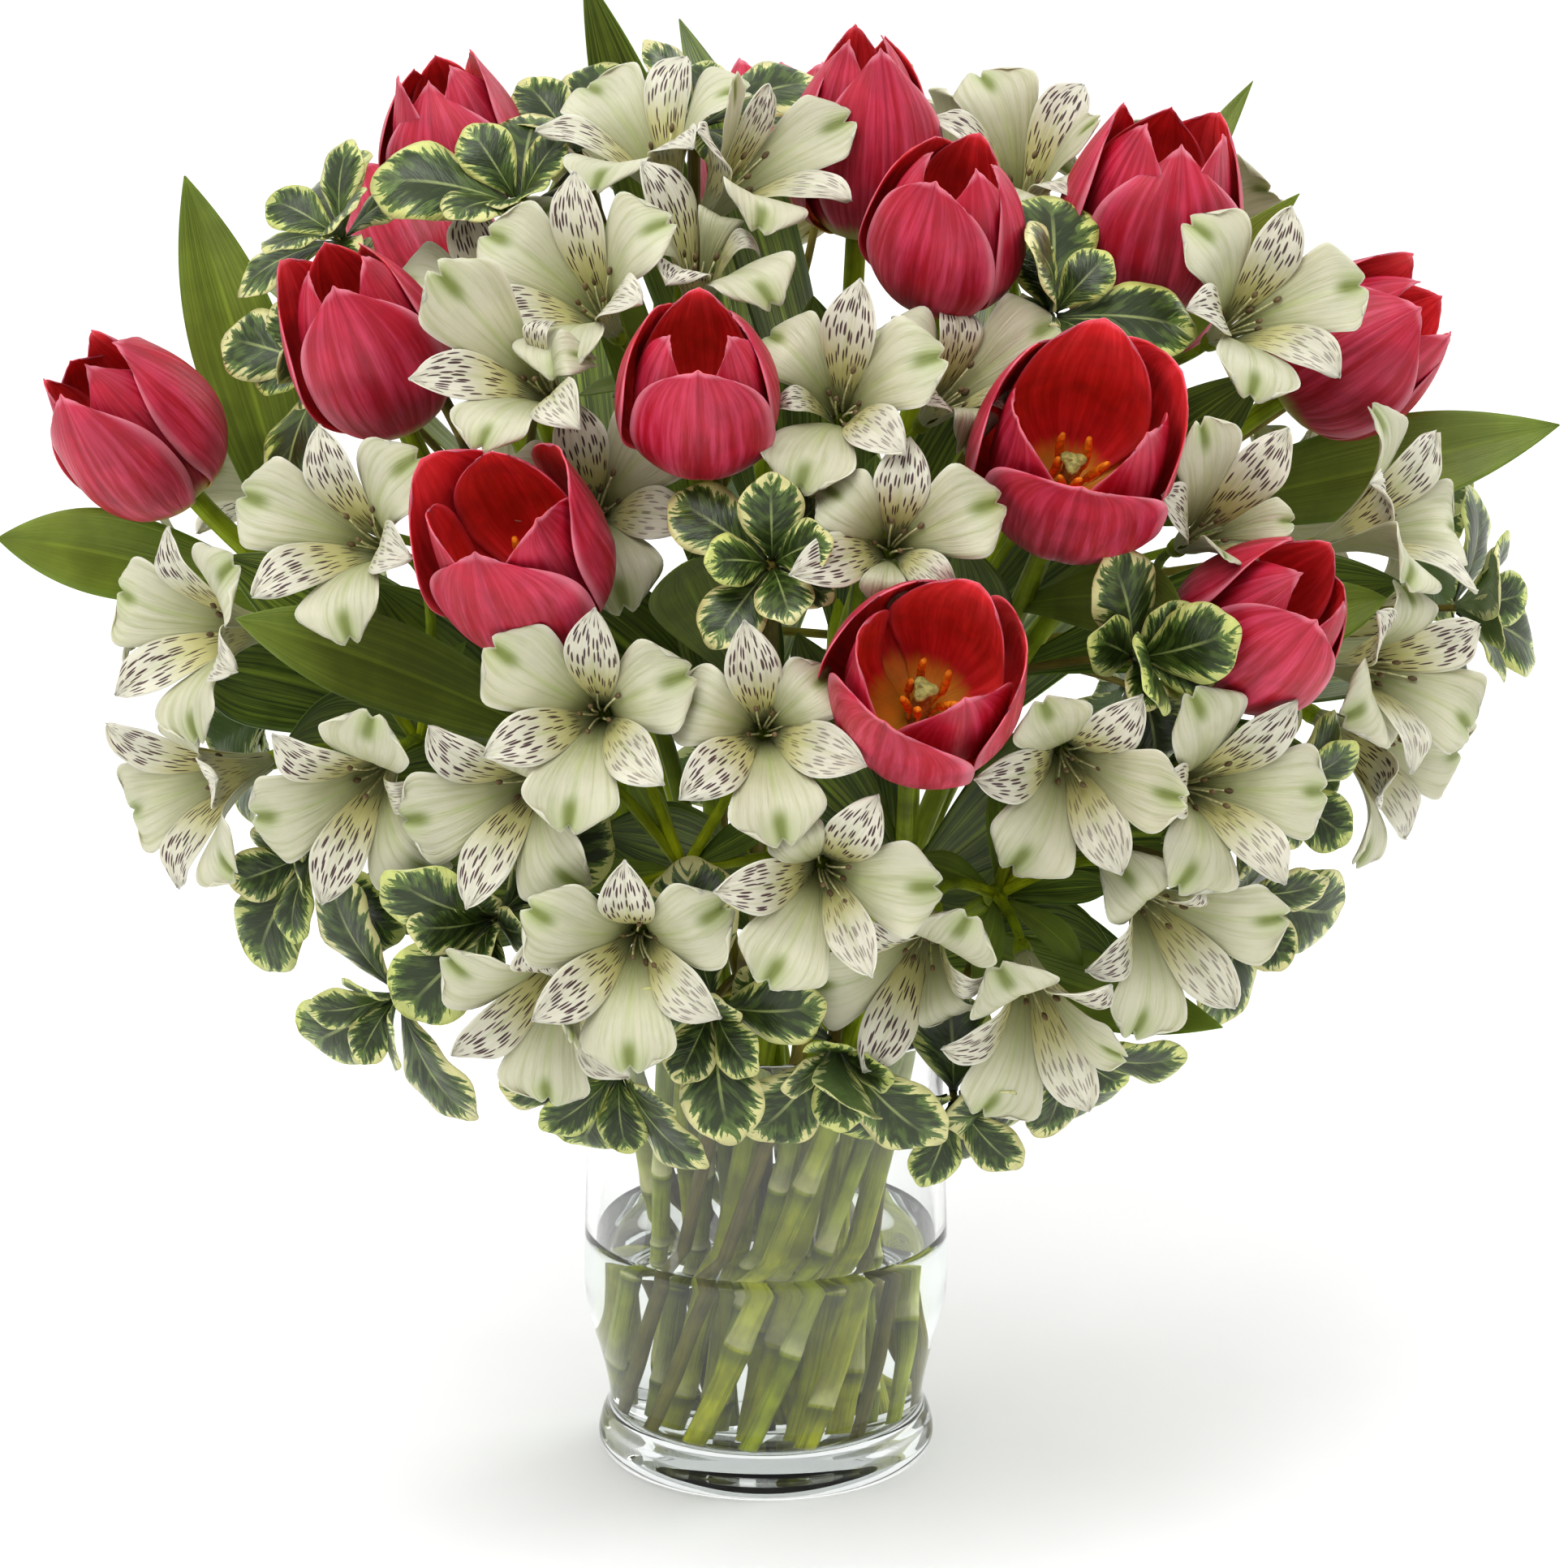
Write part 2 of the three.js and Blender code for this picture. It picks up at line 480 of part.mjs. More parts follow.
// All six petals as one sheet: their roots meet in a ring round the seat of the bloom, and
// the outer three then rise clear of the inner three, which they overlap.
function tulipBloom(bloom, fat) {
  const points = [new THREE.Vector3(0, 0, 0.5)];
  const faces = [];
  for (let k = 0; k < 6; k += 1) {
    const angle = (k - 0.5) * 60 * DEGREE;
    points.push(new THREE.Vector3(3 * Math.cos(angle), 3 * Math.sin(angle), 1));
  }
  petalsOf(bloom).forEach((petal, k) => {
    const root = 1 + k;
    const next = 1 + ((k + 1) % 6);
    const low = points.length;
    const high = low + 3;
    const tip = low + 6;
    for (const v of petal.inside ? INNER_ROWS : OUTER_ROWS) {
      for (const u of [-1, 0, 1]) points.push(petalPoint(bloom, petal, u, v));
    }
    points.push(petalPoint(bloom, petal, 0, 1));
    faces.push([0, next, root], [root, next, low + 1]);
    faces.push([root, low + 1, low], [next, low + 2, low + 1]);
    faces.push([low, high + 1, high], [low, low + 1, high + 1]);
    faces.push([low + 1, high + 2, high + 1], [low + 1, low + 2, high + 2]);
    faces.push([high, high + 1, tip], [high + 1, high + 2, tip]);
  });
  const petals = sheet(points, faces, { thick: PETAL_THICK, fat });
  const opened = bloom.open > SEES_PISTIL && fat === 0;
  const solid = opened ? petals.add(pistilSolid(0.42 * bloom.high)) : petals;
  return place(solid, bloom);
}

// the pistil in the middle of a bloom, wider at its top
function pistilSolid(tall) {
  const foot = 0.7;
  return turned([[0, foot], [2.2, foot], [1.7, tall - 2], [2.8, tall], [0, tall + 0.6]], 5);
}

// puts a bloom or a whorl that was made upright on its base, turned to where it faces
function place(solid, { base, face, turn }) {
  const aim = facing(face, turn * DEGREE);
  const matrix = new THREE.Matrix4().compose(base, aim, new THREE.Vector3(1, 1, 1));
  const placed = solid.transform(matrix.toArray());
  solid.delete();
  return placed;
}

// ---------------------------------------------------------------------------------------
// Alstroemeria blooms
// ---------------------------------------------------------------------------------------

const FACE_REACH = 30; // from the root of a bloom to the middle of its open face
const THROAT = 3.2; // radius of the throat where the tepals leave it
const THROAT_HIGH = 7; // height of the throat above the root of the bloom
const FORK_BACK = 34; // from the roots of the blooms back to where their stalks part
const FORK_RADIUS = 3;

// a point of a tepal: s runs from its root to its tip and w is the way across in millimetres
function tepalPoint(tepal, s, w) {
  const out = THROAT + tepal.reach * s ** 1.25;
  const cup = (tepal.cup * w * w) / 60;
  const height = THROAT_HIGH + 27 * (1 - (1 - s) ** 2.1) - tepal.curl * s ** 3 + cup;
  const x = out * Math.cos(tepal.angle) - w * Math.sin(tepal.angle);
  const y = out * Math.sin(tepal.angle) + w * Math.cos(tepal.angle);
  return new THREE.Vector3(x, y, height);
}

// the outline of one tepal past its root edge, as [s, w] pairs, and its triangles, in which
// -2 and -1 are the two ends of the root edge
const OUTER_OUTLINE = [[0.5, -8.2], [0.9, -11], [1, 0], [0.9, 11], [0.5, 8.2]];
const OUTER_FACES = [[-2, 0, 2], [0, 1, 2], [-2, 2, -1], [-1, 2, 4], [2, 3, 4]];
const INNER_OUTLINE = [[0.62, -6], [1, 0], [0.62, 6]];
const INNER_FACES = [[-2, 0, 1], [-2, 1, -1], [-1, 1, 2]];

// how a tepal may be bent or shortened to lie clear of its neighbours, best first
const TEPAL_CHOICES = [1, 0.87, 0.75, 0.62, 0.5].flatMap((part) => (
  [0, 4, -4, 8, -8, 13, -12].map((bend) => ({ part, bend }))));

function tepalsOf(turn) {
  const tepals = [];
  for (let k = 0; k < 6; k += 1) {
    const outer = k % 2 === 0;
    tepals.push({
      angle: k * 60 * DEGREE,
      reach: outer ? 25 : 22.5,
      cup: outer ? 1 : 1.6,
      curl: (outer ? 5 : 1) + 2.5 * Math.sin(1.7 * k + turn),
      outline: outer ? OUTER_OUTLINE : INNER_OUTLINE,
      faces: outer ? OUTER_FACES : INNER_FACES,
    });
  }
  return tepals;
}

function throatPoint(angle) {
  return new THREE.Vector3(THROAT * Math.cos(angle), THROAT * Math.sin(angle), THROAT_HIGH);
}

function outlinePoints(tepal, choice) {
  const bent = { ...tepal, reach: tepal.reach * choice.part, curl: tepal.curl + choice.bend };
  return tepal.outline.map(([s, w]) => tepalPoint(bent, s, w * choice.part));
}

// one tepal by itself, to try how it lies among its neighbours
function tepalSolid(bloom, tepal, choice) {
  const points = [throatPoint(tepal.angle - 30 * DEGREE), throatPoint(tepal.angle + 30 * DEGREE)];
  points.push(...outlinePoints(tepal, choice));
  const faces = tepal.faces.map((face) => face.map((corner) => corner + 2));
  return place(sheet(points, faces, { thick: TEPAL_THICK }), bloom);
}

// a point of the bouquet as seen from a bloom or whorl that looks along +Z from its base
function seenFrom(point, { base, face, turn }) {
  return point.clone().sub(base).applyQuaternion(facing(face, turn * DEGREE).invert());
}

// a thin stalk through points that are given as seen from the bloom or whorl it carries
function thinStalk(points, radius, carried) {
  const path = new THREE.CatmullRomCurve3(points.reverse(), false, 'centripetal');
  return place(tube(path, radius, 4, 3), carried);
}

// the way of a bloom's stalk from under the bloom back to the fork of its spray
function stalkPoints(bloom) {
  const end = seenFrom(bloom.fork, bloom);
  return [new THREE.Vector3(0, 0, -1.5), new THREE.Vector3(0, 0, -0.3 * end.length()), end];
}

// One sheet in the shape of a six-pointed funnel: three broad notched outer tepals and
// three narrower pointed inner ones leave a small throat.
function starSolid(bloom, fat) {
  const points = [new THREE.Vector3(0, 0, 3)];
  const faces = [];
  for (let k = 0; k < 6; k += 1) points.push(throatPoint((k - 0.5) * 60 * DEGREE));
  tepalsOf(bloom.turn).forEach((tepal, k) => {
    const roots = [1 + k, 1 + ((k + 1) % 6)];
    const first = points.length;
    faces.push([0, ...roots]);
    points.push(...outlinePoints(tepal, bloom.choices[k]));
    faces.push(...tepal.faces.map((face) => face.map((c) => (c < 0 ? roots[c + 2] : first + c))));
  });
  const tail = { sides: 6, corners: 3, radius: PEDICEL, points: stalkPoints(bloom) };
  return place(sheet(points, faces, { thick: TEPAL_THICK, fat, tail }), bloom);
}

// where the stalks of a spray part: behind its blooms, towards the neck of the vase
function forkOf(spray) {
  const middle = new THREE.Vector3();
  for (const bloom of spray.blooms) middle.add(bloom.base);
  middle.divideScalar(spray.blooms.length);
  return middle.lerp(NECK, FORK_BACK / middle.distanceTo(NECK));
}

// the small swelling at which the stalks of a spray part
function forkSolid(spray, fat) {
  const r = FORK_RADIUS + fat;
  const hub = turned([[0, -r], [r, -FORK_RADIUS / 2], [r, FORK_RADIUS / 2], [0, r]], 5);
  return place(hub, { base: spray.fork, face: spray.face, turn: 0 });
}

// ---------------------------------------------------------------------------------------
// Pittosporum whorls and long leaves
// ---------------------------------------------------------------------------------------

const WHORL_LEAVES = 4;
const WHORL_LEAF = 34; // length of one leaf
const WHORL_ROOT = 2; // radius of the ring of leaf roots
const WHORL_REACH = 10; // from the roots of a whorl out to the middle of its leaves
const BUD = 4; // thickness of a whorl in its middle

// the outline of one blunt leaf past its root edge, as [along, across, lift] in parts of its
// length, and its triangles, in which -2 and -1 are the two ends of the root edge
const BLUNT_OUTLINE = [
  [0.34, -0.2, 0.03], [0.76, -0.34, 0.09], [1, 0, -0.08], [0.76, 0.34, 0.03], [0.34, 0.2, 0.09],
];
const BLUNT_FACES = OUTER_FACES;

// how a leaf of a whorl may be tilted or shortened to lie clear, best first
const LEAF_CHOICES = [1, 0.85, 0.7, 0.55].flatMap((part) => (
  [0, 12, -12, 24, -24, 36, -36].map((bend) => ({ part, bend }))));

function whorlRoot(k) {
  const angle = ((k - 0.5) * 2 * Math.PI) / WHORL_LEAVES;
  return new THREE.Vector3(WHORL_ROOT * Math.cos(angle), WHORL_ROOT * Math.sin(angle), 0);
}

// the outline of leaf k of a whorl; every other leaf stands more upright
function whorlLeafPoints(whorl, k, choice) {
  const angle = (k * 2 * Math.PI) / WHORL_LEAVES;
  const sway = Math.sin(3 * whorl.seed + 2.1 * k);
  const tilt = ((k % 2 ? 60 : 82) + 9 * sway + choice.bend) * DEGREE;
  const long = WHORL_LEAF * (0.94 + 0.1 * sway) * choice.part;
  const outwards = new THREE.Vector3(Math.cos(angle), Math.sin(angle), 0);
  const side = new THREE.Vector3(-Math.sin(angle), Math.cos(angle), 0);
  const along = outwards.clone().multiplyScalar(Math.sin(tilt)).addScaledVector(UP, Math.cos(tilt));
  const lift = side.clone().cross(along).negate();
  return BLUNT_OUTLINE.map(([s, w, h]) => along.clone().multiplyScalar(s * long + 1.6)
    .addScaledVector(side, w * long).addScaledVector(lift, h * long));
}

// one leaf by itself, to try how it lies among its neighbours
function whorlLeafSolid(whorl, k, choice) {
  const points = [whorlRoot(k), whorlRoot(k + 1), ...whorlLeafPoints(whorl, k, choice)];
  const faces = BLUNT_FACES.map((face) => face.map((corner) => corner + 2));
  return place(sheet(points, faces, { thick: LEAF_THICK }), whorl);
}

// a ring of blunt leaves round the end of a twig, as one sheet
function whorlSolid(whorl, fat) {
  const points = [new THREE.Vector3(0, 0, 1)];
  const faces = [];
  for (let k = 0; k < WHORL_LEAVES; k += 1) points.push(whorlRoot(k));
  for (let k = 0; k < WHORL_LEAVES; k += 1) {
    const roots = [1 + k, 1 + ((k + 1) % WHORL_LEAVES)];
    const first = points.length;
    faces.push([0, ...roots]);
    points.push(...whorlLeafPoints(whorl, k, whorl.choices[k]));
    faces.push(...BLUNT_FACES.map((face) => face.map((c) => (c < 0 ? roots[c + 2] : first + c))));
  }
  const form = { thick: LEAF_THICK, fat };
  if (whorl.onTwig) {
    const ring = { sides: WHORL_LEAVES, corners: WHORL_LEAVES, radius: TWIG };
    form.tail = { ...ring, points: twigPoints(whorl) };
  } else {
    form.heart = BUD;
  }
  return place(sheet(points, faces, form), whorl);
}

// the way of a twig from under its whorl back to the main stem of its sprig
function twigPoints(whorl) {
  const root = seenFrom(whorl.stem.path.getPoint(whorl.onStem), whorl);
  return [new THREE.Vector3(0, 0, -2), new THREE.Vector3(0, 0, -0.3 * root.length()), root];
}

// how a long leaf may be shortened, swung aside or arched to lie clear, best first
const LONG_CHOICES = [1, 0.88, 0.75].flatMap((part) => [0, 8, -8, 16, -16].flatMap((swing) => (
  [0, 7, -7, 14, -14, 22].map((bend) => ({ part, swing, bend })))));

// rows across a long leaf, as [place along it, part of its full width]
const LONG_ROWS = [[0.35, 0.8], [0.68, 1]];

// a long pointed leaf from a point on its stem to its tip, arched and folded along its rib
function longLeaf(stem, leaf, choice, fat) {
  const root = stem.path.getPoint(1 / STEM_STEPS + (1 - 1 / STEM_STEPS) * leaf.from);
  const tip = root.clone().lerp(vector(leaf.tip), choice.part);
  const middle = root.clone().lerp(tip, 0.5);
  const outwards = middle.clone().sub(NECK).normalize();
  tip.addScaledVector(tip.clone().sub(root).cross(outwards).normalize(), choice.swing);
  middle.addScaledVector(outwards, leaf.arch + choice.bend);
  const path = new THREE.QuadraticBezierCurve3(root, middle, tip);
  const facing = leaf.face ? vector(leaf.face).normalize() : outwards;
  const side = tip.clone().sub(root).cross(facing).normalize();
  const lift = 0.12 * leaf.wide;
  const points = [root];
  for (const [t, part] of LONG_ROWS) {
    const point = path.getPoint(t);
    for (const way of [-1, 0, 1]) {
      points.push(point.clone().addScaledVector(side, (way * part * leaf.wide) / 2)
        .addScaledVector(facing, Math.abs(way) * lift));
    }
  }
  points.push(tip);
  const faces = [
    [0, 2, 1], [0, 3, 2], [1, 2, 5], [1, 5, 4], [2, 3, 6], [2, 6, 5], [4, 5, 7], [5, 6, 7],
  ];
  return sheet(points, faces, { thick: LEAF_THICK, fat });
}

// ---------------------------------------------------------------------------------------
// Putting the bouquet together
// ---------------------------------------------------------------------------------------

const RANK = { vase: 0, stem: 1, stalk: 2, tulip: 3, star: 4, whorl: 5, leaf: 6 };
const elements = [];
const stems = [];

function addStem(node, head, face, radius) {
  const stem = { node, head, face, radius };
  stems.push(stem);
  elements.push({ node, rank: RANK.stem, owner: stem, shape: (fat) => stemSolid(stem, fat) });
  return stem;
}

// the outline of the vase, moved out by fat on its outside and in on its inside
function vaseProfile(fat) {
  const outside = VASE_OUTSIDE.map(([r, z]) => [r && r + fat, z + (r ? 0 : -fat)]);
  const inside = VASE_INSIDE.map(([r, z]) => {
    if (z === LIP_Z) return [r - fat, z + fat];
    return [r && r - fat, z + (z === FLOOR_Z ? fat : 0)];
  });
  return [...outside, ...inside];
}

elements.push({
  node: 'vase',
  rank: RANK.vase,
  shape: (fat) => turned(vaseProfile(fat), VASE_SIDES),
});

TULIPS.forEach((row, i) => {
  const number = String(i + 1).padStart(2, '0');
  const face = vector(row.face).normalize();
  const base = vector(row.at).addScaledVector(face, -0.5 * row.high);
  const bloom = { ...row, face, base };
  const head = base.clone().addScaledVector(face, -GAP);
  addStem(`tulip_stem_${number}`, head, face, TULIP_STEM);
  elements.push({
    node: `tulip_bloom_${number}`,
    rank: RANK.tulip,
    shape: (fat) => tulipBloom(bloom, fat),
  });
});

for (const row of ALSTROEMERIAS) {
  const blooms = row.blooms.map((numbers) => {
    const face = vector(numbers.slice(3, 6)).normalize();
    return { face, base: vector(numbers).addScaledVector(face, -FACE_REACH), turn: numbers[6] };
  });
  const spray = { blooms };
  spray.fork = forkOf(spray);
  spray.face = spray.fork.clone().sub(NECK).normalize();
  const head = spray.fork.clone().addScaledVector(spray.face, -FORK_RADIUS - GAP);
  addStem(`alstroemeria_stem_${row.name}`, head, spray.face, ALSTROEMERIA_STEM);
  const node = `alstroemeria_head_${row.name}`;
  elements.push({ node, rank: RANK.stalk, shape: (fat) => forkSolid(spray, fat) });
  for (const bloom of spray.blooms) {
    bloom.fork = spray.fork;
    elements.push({
      node,
      rank: RANK.stalk,
      owner: bloom,
      shape: (fat) => thinStalk(stalkPoints(bloom), PEDICEL + fat, bloom),
    });
    elements.push({
      node,
      rank: RANK.star,
      owner: bloom,
      settle: () => {
        bloom.choices = tepalsOf(bloom.turn).map((tepal) => (
          pick(bloom, TEPAL_CHOICES, (choice) => tepalSolid(bloom, tepal, choice))));
      },
      shape: (fat) => starSolid(bloom, fat),
    });
  }
}

PITTOSPORUMS.forEach((row, i) => {
  const node = `pittosporum_${row.name}`;
  const whorls = row.whorls.map((numbers, k) => {
    const face = vector(numbers.slice(3, 6)).normalize();
    const base = vector(numbers).addScaledVector(face, -WHORL_REACH);
    const seed = 0.7 * i + k;
    return { face, base, seed, turn: 40 * seed, onTwig: k > 0, onStem: 0.5 + 0.08 * k };
  });
  const head = whorls[0].base.clone().addScaledVector(whorls[0].face, 1);
  const stem = addStem(node, head, whorls[0].face, WOOD_STEM);
  for (const whorl of whorls) {
    whorl.stem = stem;
    if (whorl.onTwig) {
      elements.push({
        node,
        rank: RANK.stalk,
        owner: whorl,
        shape: (fat) => thinStalk(twigPoints(whorl), TWIG + fat, whorl),
      });
    }
    elements.push({
      node,
      rank: RANK.whorl,
      owner: whorl,
      settle: () => {
        whorl.choices = Array.from({ length: WHORL_LEAVES }, (_, leaf) => (
          pick(whorl, LEAF_CHOICES, (choice) => whorlLeafSolid(whorl, leaf, choice))));
      },
      shape: (fat) => whorlSolid(whorl, fat),
    });
  }
});

seatStems(stems);

for (const leaf of LONG_LEAVES) {
  const node = leaf.on.replace('_', '_stem_');
  const stem = stems.find((one) => one.node === node);
  elements.push({
    node,
    rank: RANK.leaf,
    owner: stem,
    settle: () => {
      leaf.choice = pick(stem, LONG_CHOICES, (choice) => longLeaf(stem, leaf, choice, 0));
    },
    shape: (fat) => longLeaf(stem, leaf, leaf.choice, fat),
  });
}

function boxesMeet(a, b) {
  return [0, 1, 2].every((i) => a.min[i] < b.max[i] && b.min[i] < a.max[i]);
}

// what is already placed, fattened by the gap
const claims = [];

// the first of some choices whose solid lies clear of what is placed, or else the one that
// is least in the way
function pick(owner, choices, make) {
  let best = null;
  for (const choice of choices) {
    const solid = make(choice);
    const box = solid.boundingBox();
    let hit = 0;
    for (const claim of claims) {
      if (claim.owner === owner || !boxesMeet(claim.box, box)) continue;
      const common = solid.intersect(claim.solid);
      hit += common.volume();
      common.delete();
    }
    solid.delete();
    if (hit < 0.001) return choice;
    if (!best || hit < best.hit) best = { hit, choice };
  }
  return best.choice;
}

const bodies = new Map();
for (const element of elements.sort((a, b) => a.rank - b.rank)) {
  element.settle?.();
  const wide = element.shape(GAP);
  const claim = { ...element, solid: wide, box: wide.boundingBox() };
  if (element.rank === RANK.stalk && element.owner) {
    claims.push(claim);
    continue;
  }
  let solid = element.shape(0);
  const box = solid.boundingBox();
  for (const other of claims) {
    if (other.node === element.node || !boxesMeet(other.box, box)) continue;
    solid = cutAway(solid, other.solid);
  }
  claims.push(claim);
  bodies.set(element.node, [...(bodies.get(element.node) ?? []), biggest(solid)]);
}

function waterSolid() {
  const inside = vaseProfile(GAP).slice(VASE_OUTSIDE.length).filter(([, z]) => z < WATER_Z);
  const profile = [...inside.reverse(), [WATER_RADIUS, WATER_Z], [0, WATER_Z]];
  let water = turned(profile, WATER_SIDES);
  for (const claim of claims) {
    if (claim.node !== 'vase' && claim.box.min[2] < WATER_Z) water = cutAway(water, claim.solid);
  }
  return biggest(water);
}
bodies.set('water', [waterSolid()]);

const LOOKS = {
  vase: { color: 0xdfe9e8, roughness: 0.05, metalness: 0 },
  water: { color: 0xd5e4dc, roughness: 0.03, metalness: 0 },
  tulip_bloom: { color: 0xc8233f, roughness: 0.45, metalness: 0 },
  tulip_stem: { color: 0x7f9b45, roughness: 0.5, metalness: 0 },
  alstroemeria_head: { color: 0xe9e8dc, roughness: 0.5, metalness: 0 },
  alstroemeria_stem: { color: 0x66852f, roughness: 0.5, metalness: 0 },
  pittosporum: { color: 0x3c4f22, roughness: 0.4, metalness: 0 },
};

function materialOf(node) {
  const kind = Object.keys(LOOKS).find((name) => node.startsWith(name));
  const material = new THREE.MeshStandardMaterial(LOOKS[kind]);
  if (kind === 'vase' || kind === 'water') {
    material.transparent = true;
    material.opacity = 0.3;
  }
  return material;
}

const bouquet = new THREE.Group();
for (const [node, solids] of bodies) {
  const mesh = new THREE.Mesh(geometryOf(biggest(fuse(solids))), materialOf(node));
  mesh.name = node;
  bouquet.add(mesh);
}

export default bouquet;
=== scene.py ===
# %% [markdown]
# # A spring bouquet in a glass vase
#
# Red tulips, white alstroemerias and variegated pittosporum stand in water in a round clear
# vase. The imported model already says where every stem, bloom and sprig is and how big it is,
# but its petals are plain facets. This lesson grows fine petals, leaves and stems on the same
# places with numpy, and gives each of them the streaks, veins and margins of the real plant.

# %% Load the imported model
from collections import namedtuple

import bpy
import numpy as np
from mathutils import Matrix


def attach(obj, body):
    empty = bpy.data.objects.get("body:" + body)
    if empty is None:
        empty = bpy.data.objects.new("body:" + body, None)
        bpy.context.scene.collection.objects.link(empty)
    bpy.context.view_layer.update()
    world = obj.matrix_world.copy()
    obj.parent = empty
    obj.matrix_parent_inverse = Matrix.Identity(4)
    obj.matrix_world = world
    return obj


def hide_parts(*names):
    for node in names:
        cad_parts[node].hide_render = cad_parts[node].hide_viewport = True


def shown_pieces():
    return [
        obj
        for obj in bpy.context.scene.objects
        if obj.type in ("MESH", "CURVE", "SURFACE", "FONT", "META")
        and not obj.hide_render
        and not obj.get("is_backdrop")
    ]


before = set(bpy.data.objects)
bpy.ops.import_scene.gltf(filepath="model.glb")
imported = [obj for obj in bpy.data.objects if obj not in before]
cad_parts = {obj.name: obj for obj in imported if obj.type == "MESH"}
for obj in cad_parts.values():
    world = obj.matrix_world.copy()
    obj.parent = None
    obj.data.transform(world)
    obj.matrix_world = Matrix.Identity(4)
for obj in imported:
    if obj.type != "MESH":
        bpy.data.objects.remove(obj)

MM = 0.001
DEGREE = np.pi / 180
FULL_TURN = 6.3  # a little more than two pi: makes a phase out of a tone from 0 to 1
UP = np.array([0.0, 0.0, 1.0])
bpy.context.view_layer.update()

# %% [markdown]
# ## Short words for nodes
#
# Every finish below is a small tree of nodes that feeds one shader. Spelled out, a node takes
# three or four lines, so the usual ones get a word each: `ramp` for a smooth step, `times`
# for a product, `mix` for one colour over another and `coats` for a stack of them. Each word
# takes plain values or the outputs of other words.

# %% Recipes and finishes
class Recipe:
    """A node tree with short words for the nodes that the finishes use."""

    def __init__(self, tree):
        self.tree = tree

    def node(self, kind, inputs=None, **settings):
        """A new node of this kind with its settings made and its inputs fed."""
        made = self.tree.nodes.new(kind)
        for name, value in settings.items():
            setattr(made, name, value)
        for key, value in (inputs or {}).items():
            self.feed(made.inputs[key], value)
        return made

    def feed(self, socket, value):
        """Links an output to a socket, or sets the socket to a number or a colour."""
        if isinstance(value, bpy.types.NodeSocket):
            self.tree.links.new(value, socket)
        elif socket.type == "RGBA":
            socket.default_value = (*value, 1.0)
        else:
            socket.default_value = value

    def mark(self, name):
        return self.node("ShaderNodeAttribute", attribute_name=name).outputs["Fac"]

    def math(self, operation, a, b=0.0):
        return self.node("ShaderNodeMath", {0: a, 1: b}, operation=operation).outputs[0]

    def plus(self, a, b):
        return self.math("ADD", a, b)

    def minus(self, a, b):
        return self.math("SUBTRACT", a, b)

    def times(self, first, *others):
        """The product of two or more values."""
        for other in others:
            first = self.math("MULTIPLY", first, other)
        return first

    def ramp(self, value, low, high, start=0.0, end=1.0):
        """Smooth steps from start to end while value goes from low to high."""
        inputs = {"Value": value, "From Min": low, "From Max": high,
                  "To Min": start, "To Max": end}
        step = self.node("ShaderNodeMapRange", inputs, interpolation_type="SMOOTHSTEP")
        return step.outputs["Result"]

    def mix(self, share, under, over):
        """The colour under with the given share of the colour over."""
        inputs = {0: share, 6: under, 7: over}
        return self.node("ShaderNodeMix", inputs, data_type="RGBA").outputs[2]

    def coats(self, colour, *coats):
        """A ground colour under one coat after another; a coat is its share and its colour."""
        for share, coat in coats:
            colour = self.mix(share, colour, coat)
        return colour

    def spread(self, x, y, z=0.0):
        return self.node("ShaderNodeCombineXYZ", {0: x, 1: y, 2: z}).outputs[0]

    def noise(self, where, scale, detail=3.0, roughness=0.5):
        inputs = {"Vector": where, "Scale": scale, "Detail": detail, "Roughness": roughness}
        return self.node("ShaderNodeTexNoise", inputs).outputs["Fac"]

    def here(self):
        return self.node("ShaderNodeTexCoord").outputs["Object"]

    def group(self, tree, inputs):
        return self.node("ShaderNodeGroup", inputs, node_tree=tree).outputs


class Finish(Recipe):
    """The recipe of a new material, which feeds one Principled shader."""

    def __init__(self, name, values):
        self.material = bpy.data.materials.new(name)
        self.material.use_nodes = True
        super().__init__(self.material.node_tree)
        self.shader = self.tree.nodes["Principled BSDF"]
        self.set(values)

    def set(self, values):
        """Feeds sockets of the shader by their names."""
        for name, value in values.items():
            self.feed(self.shader.inputs[name], value)

    def relief(self, height, depth):
        """Fine relief: height from 0 to 1 stands for depth in metres."""
        bump = self.node("ShaderNodeBump", {"Height": height, "Distance": depth, "Strength": 1.0})
        self.set({"Normal": bump.outputs["Normal"]})


# %% [markdown]
# ## The studio
#
# A product photograph of flowers is taken in a white tent: light comes from all round, a
# large soft lamp hangs high in front, a little to the left, and the white table runs up into
# a white background, while the side of the photographer is darker, which draws the dark lines
# in the glass. A bright world that dims towards the camera, one big lamp and one small one
# give the same. The camera looks down by about sixteen degrees from 1.7 metres away.

# %% Floor, world and lamps
FLOWERS = np.array([0, 0, 0.25])  # the middle of the bouquet, in metres


def plain_paper():
    """White table paper: a pale colour that varies by one or two parts in a hundred."""
    paper = Finish("table_paper", {"Roughness": 0.9, "Specular IOR Level": 0.2})
    grain = paper.noise(paper.here(), 60.0, 2.0)
    paper.set({"Base Color": paper.mix(grain, (0.95, 0.95, 0.95), (0.97, 0.97, 0.97))})
    return paper.material


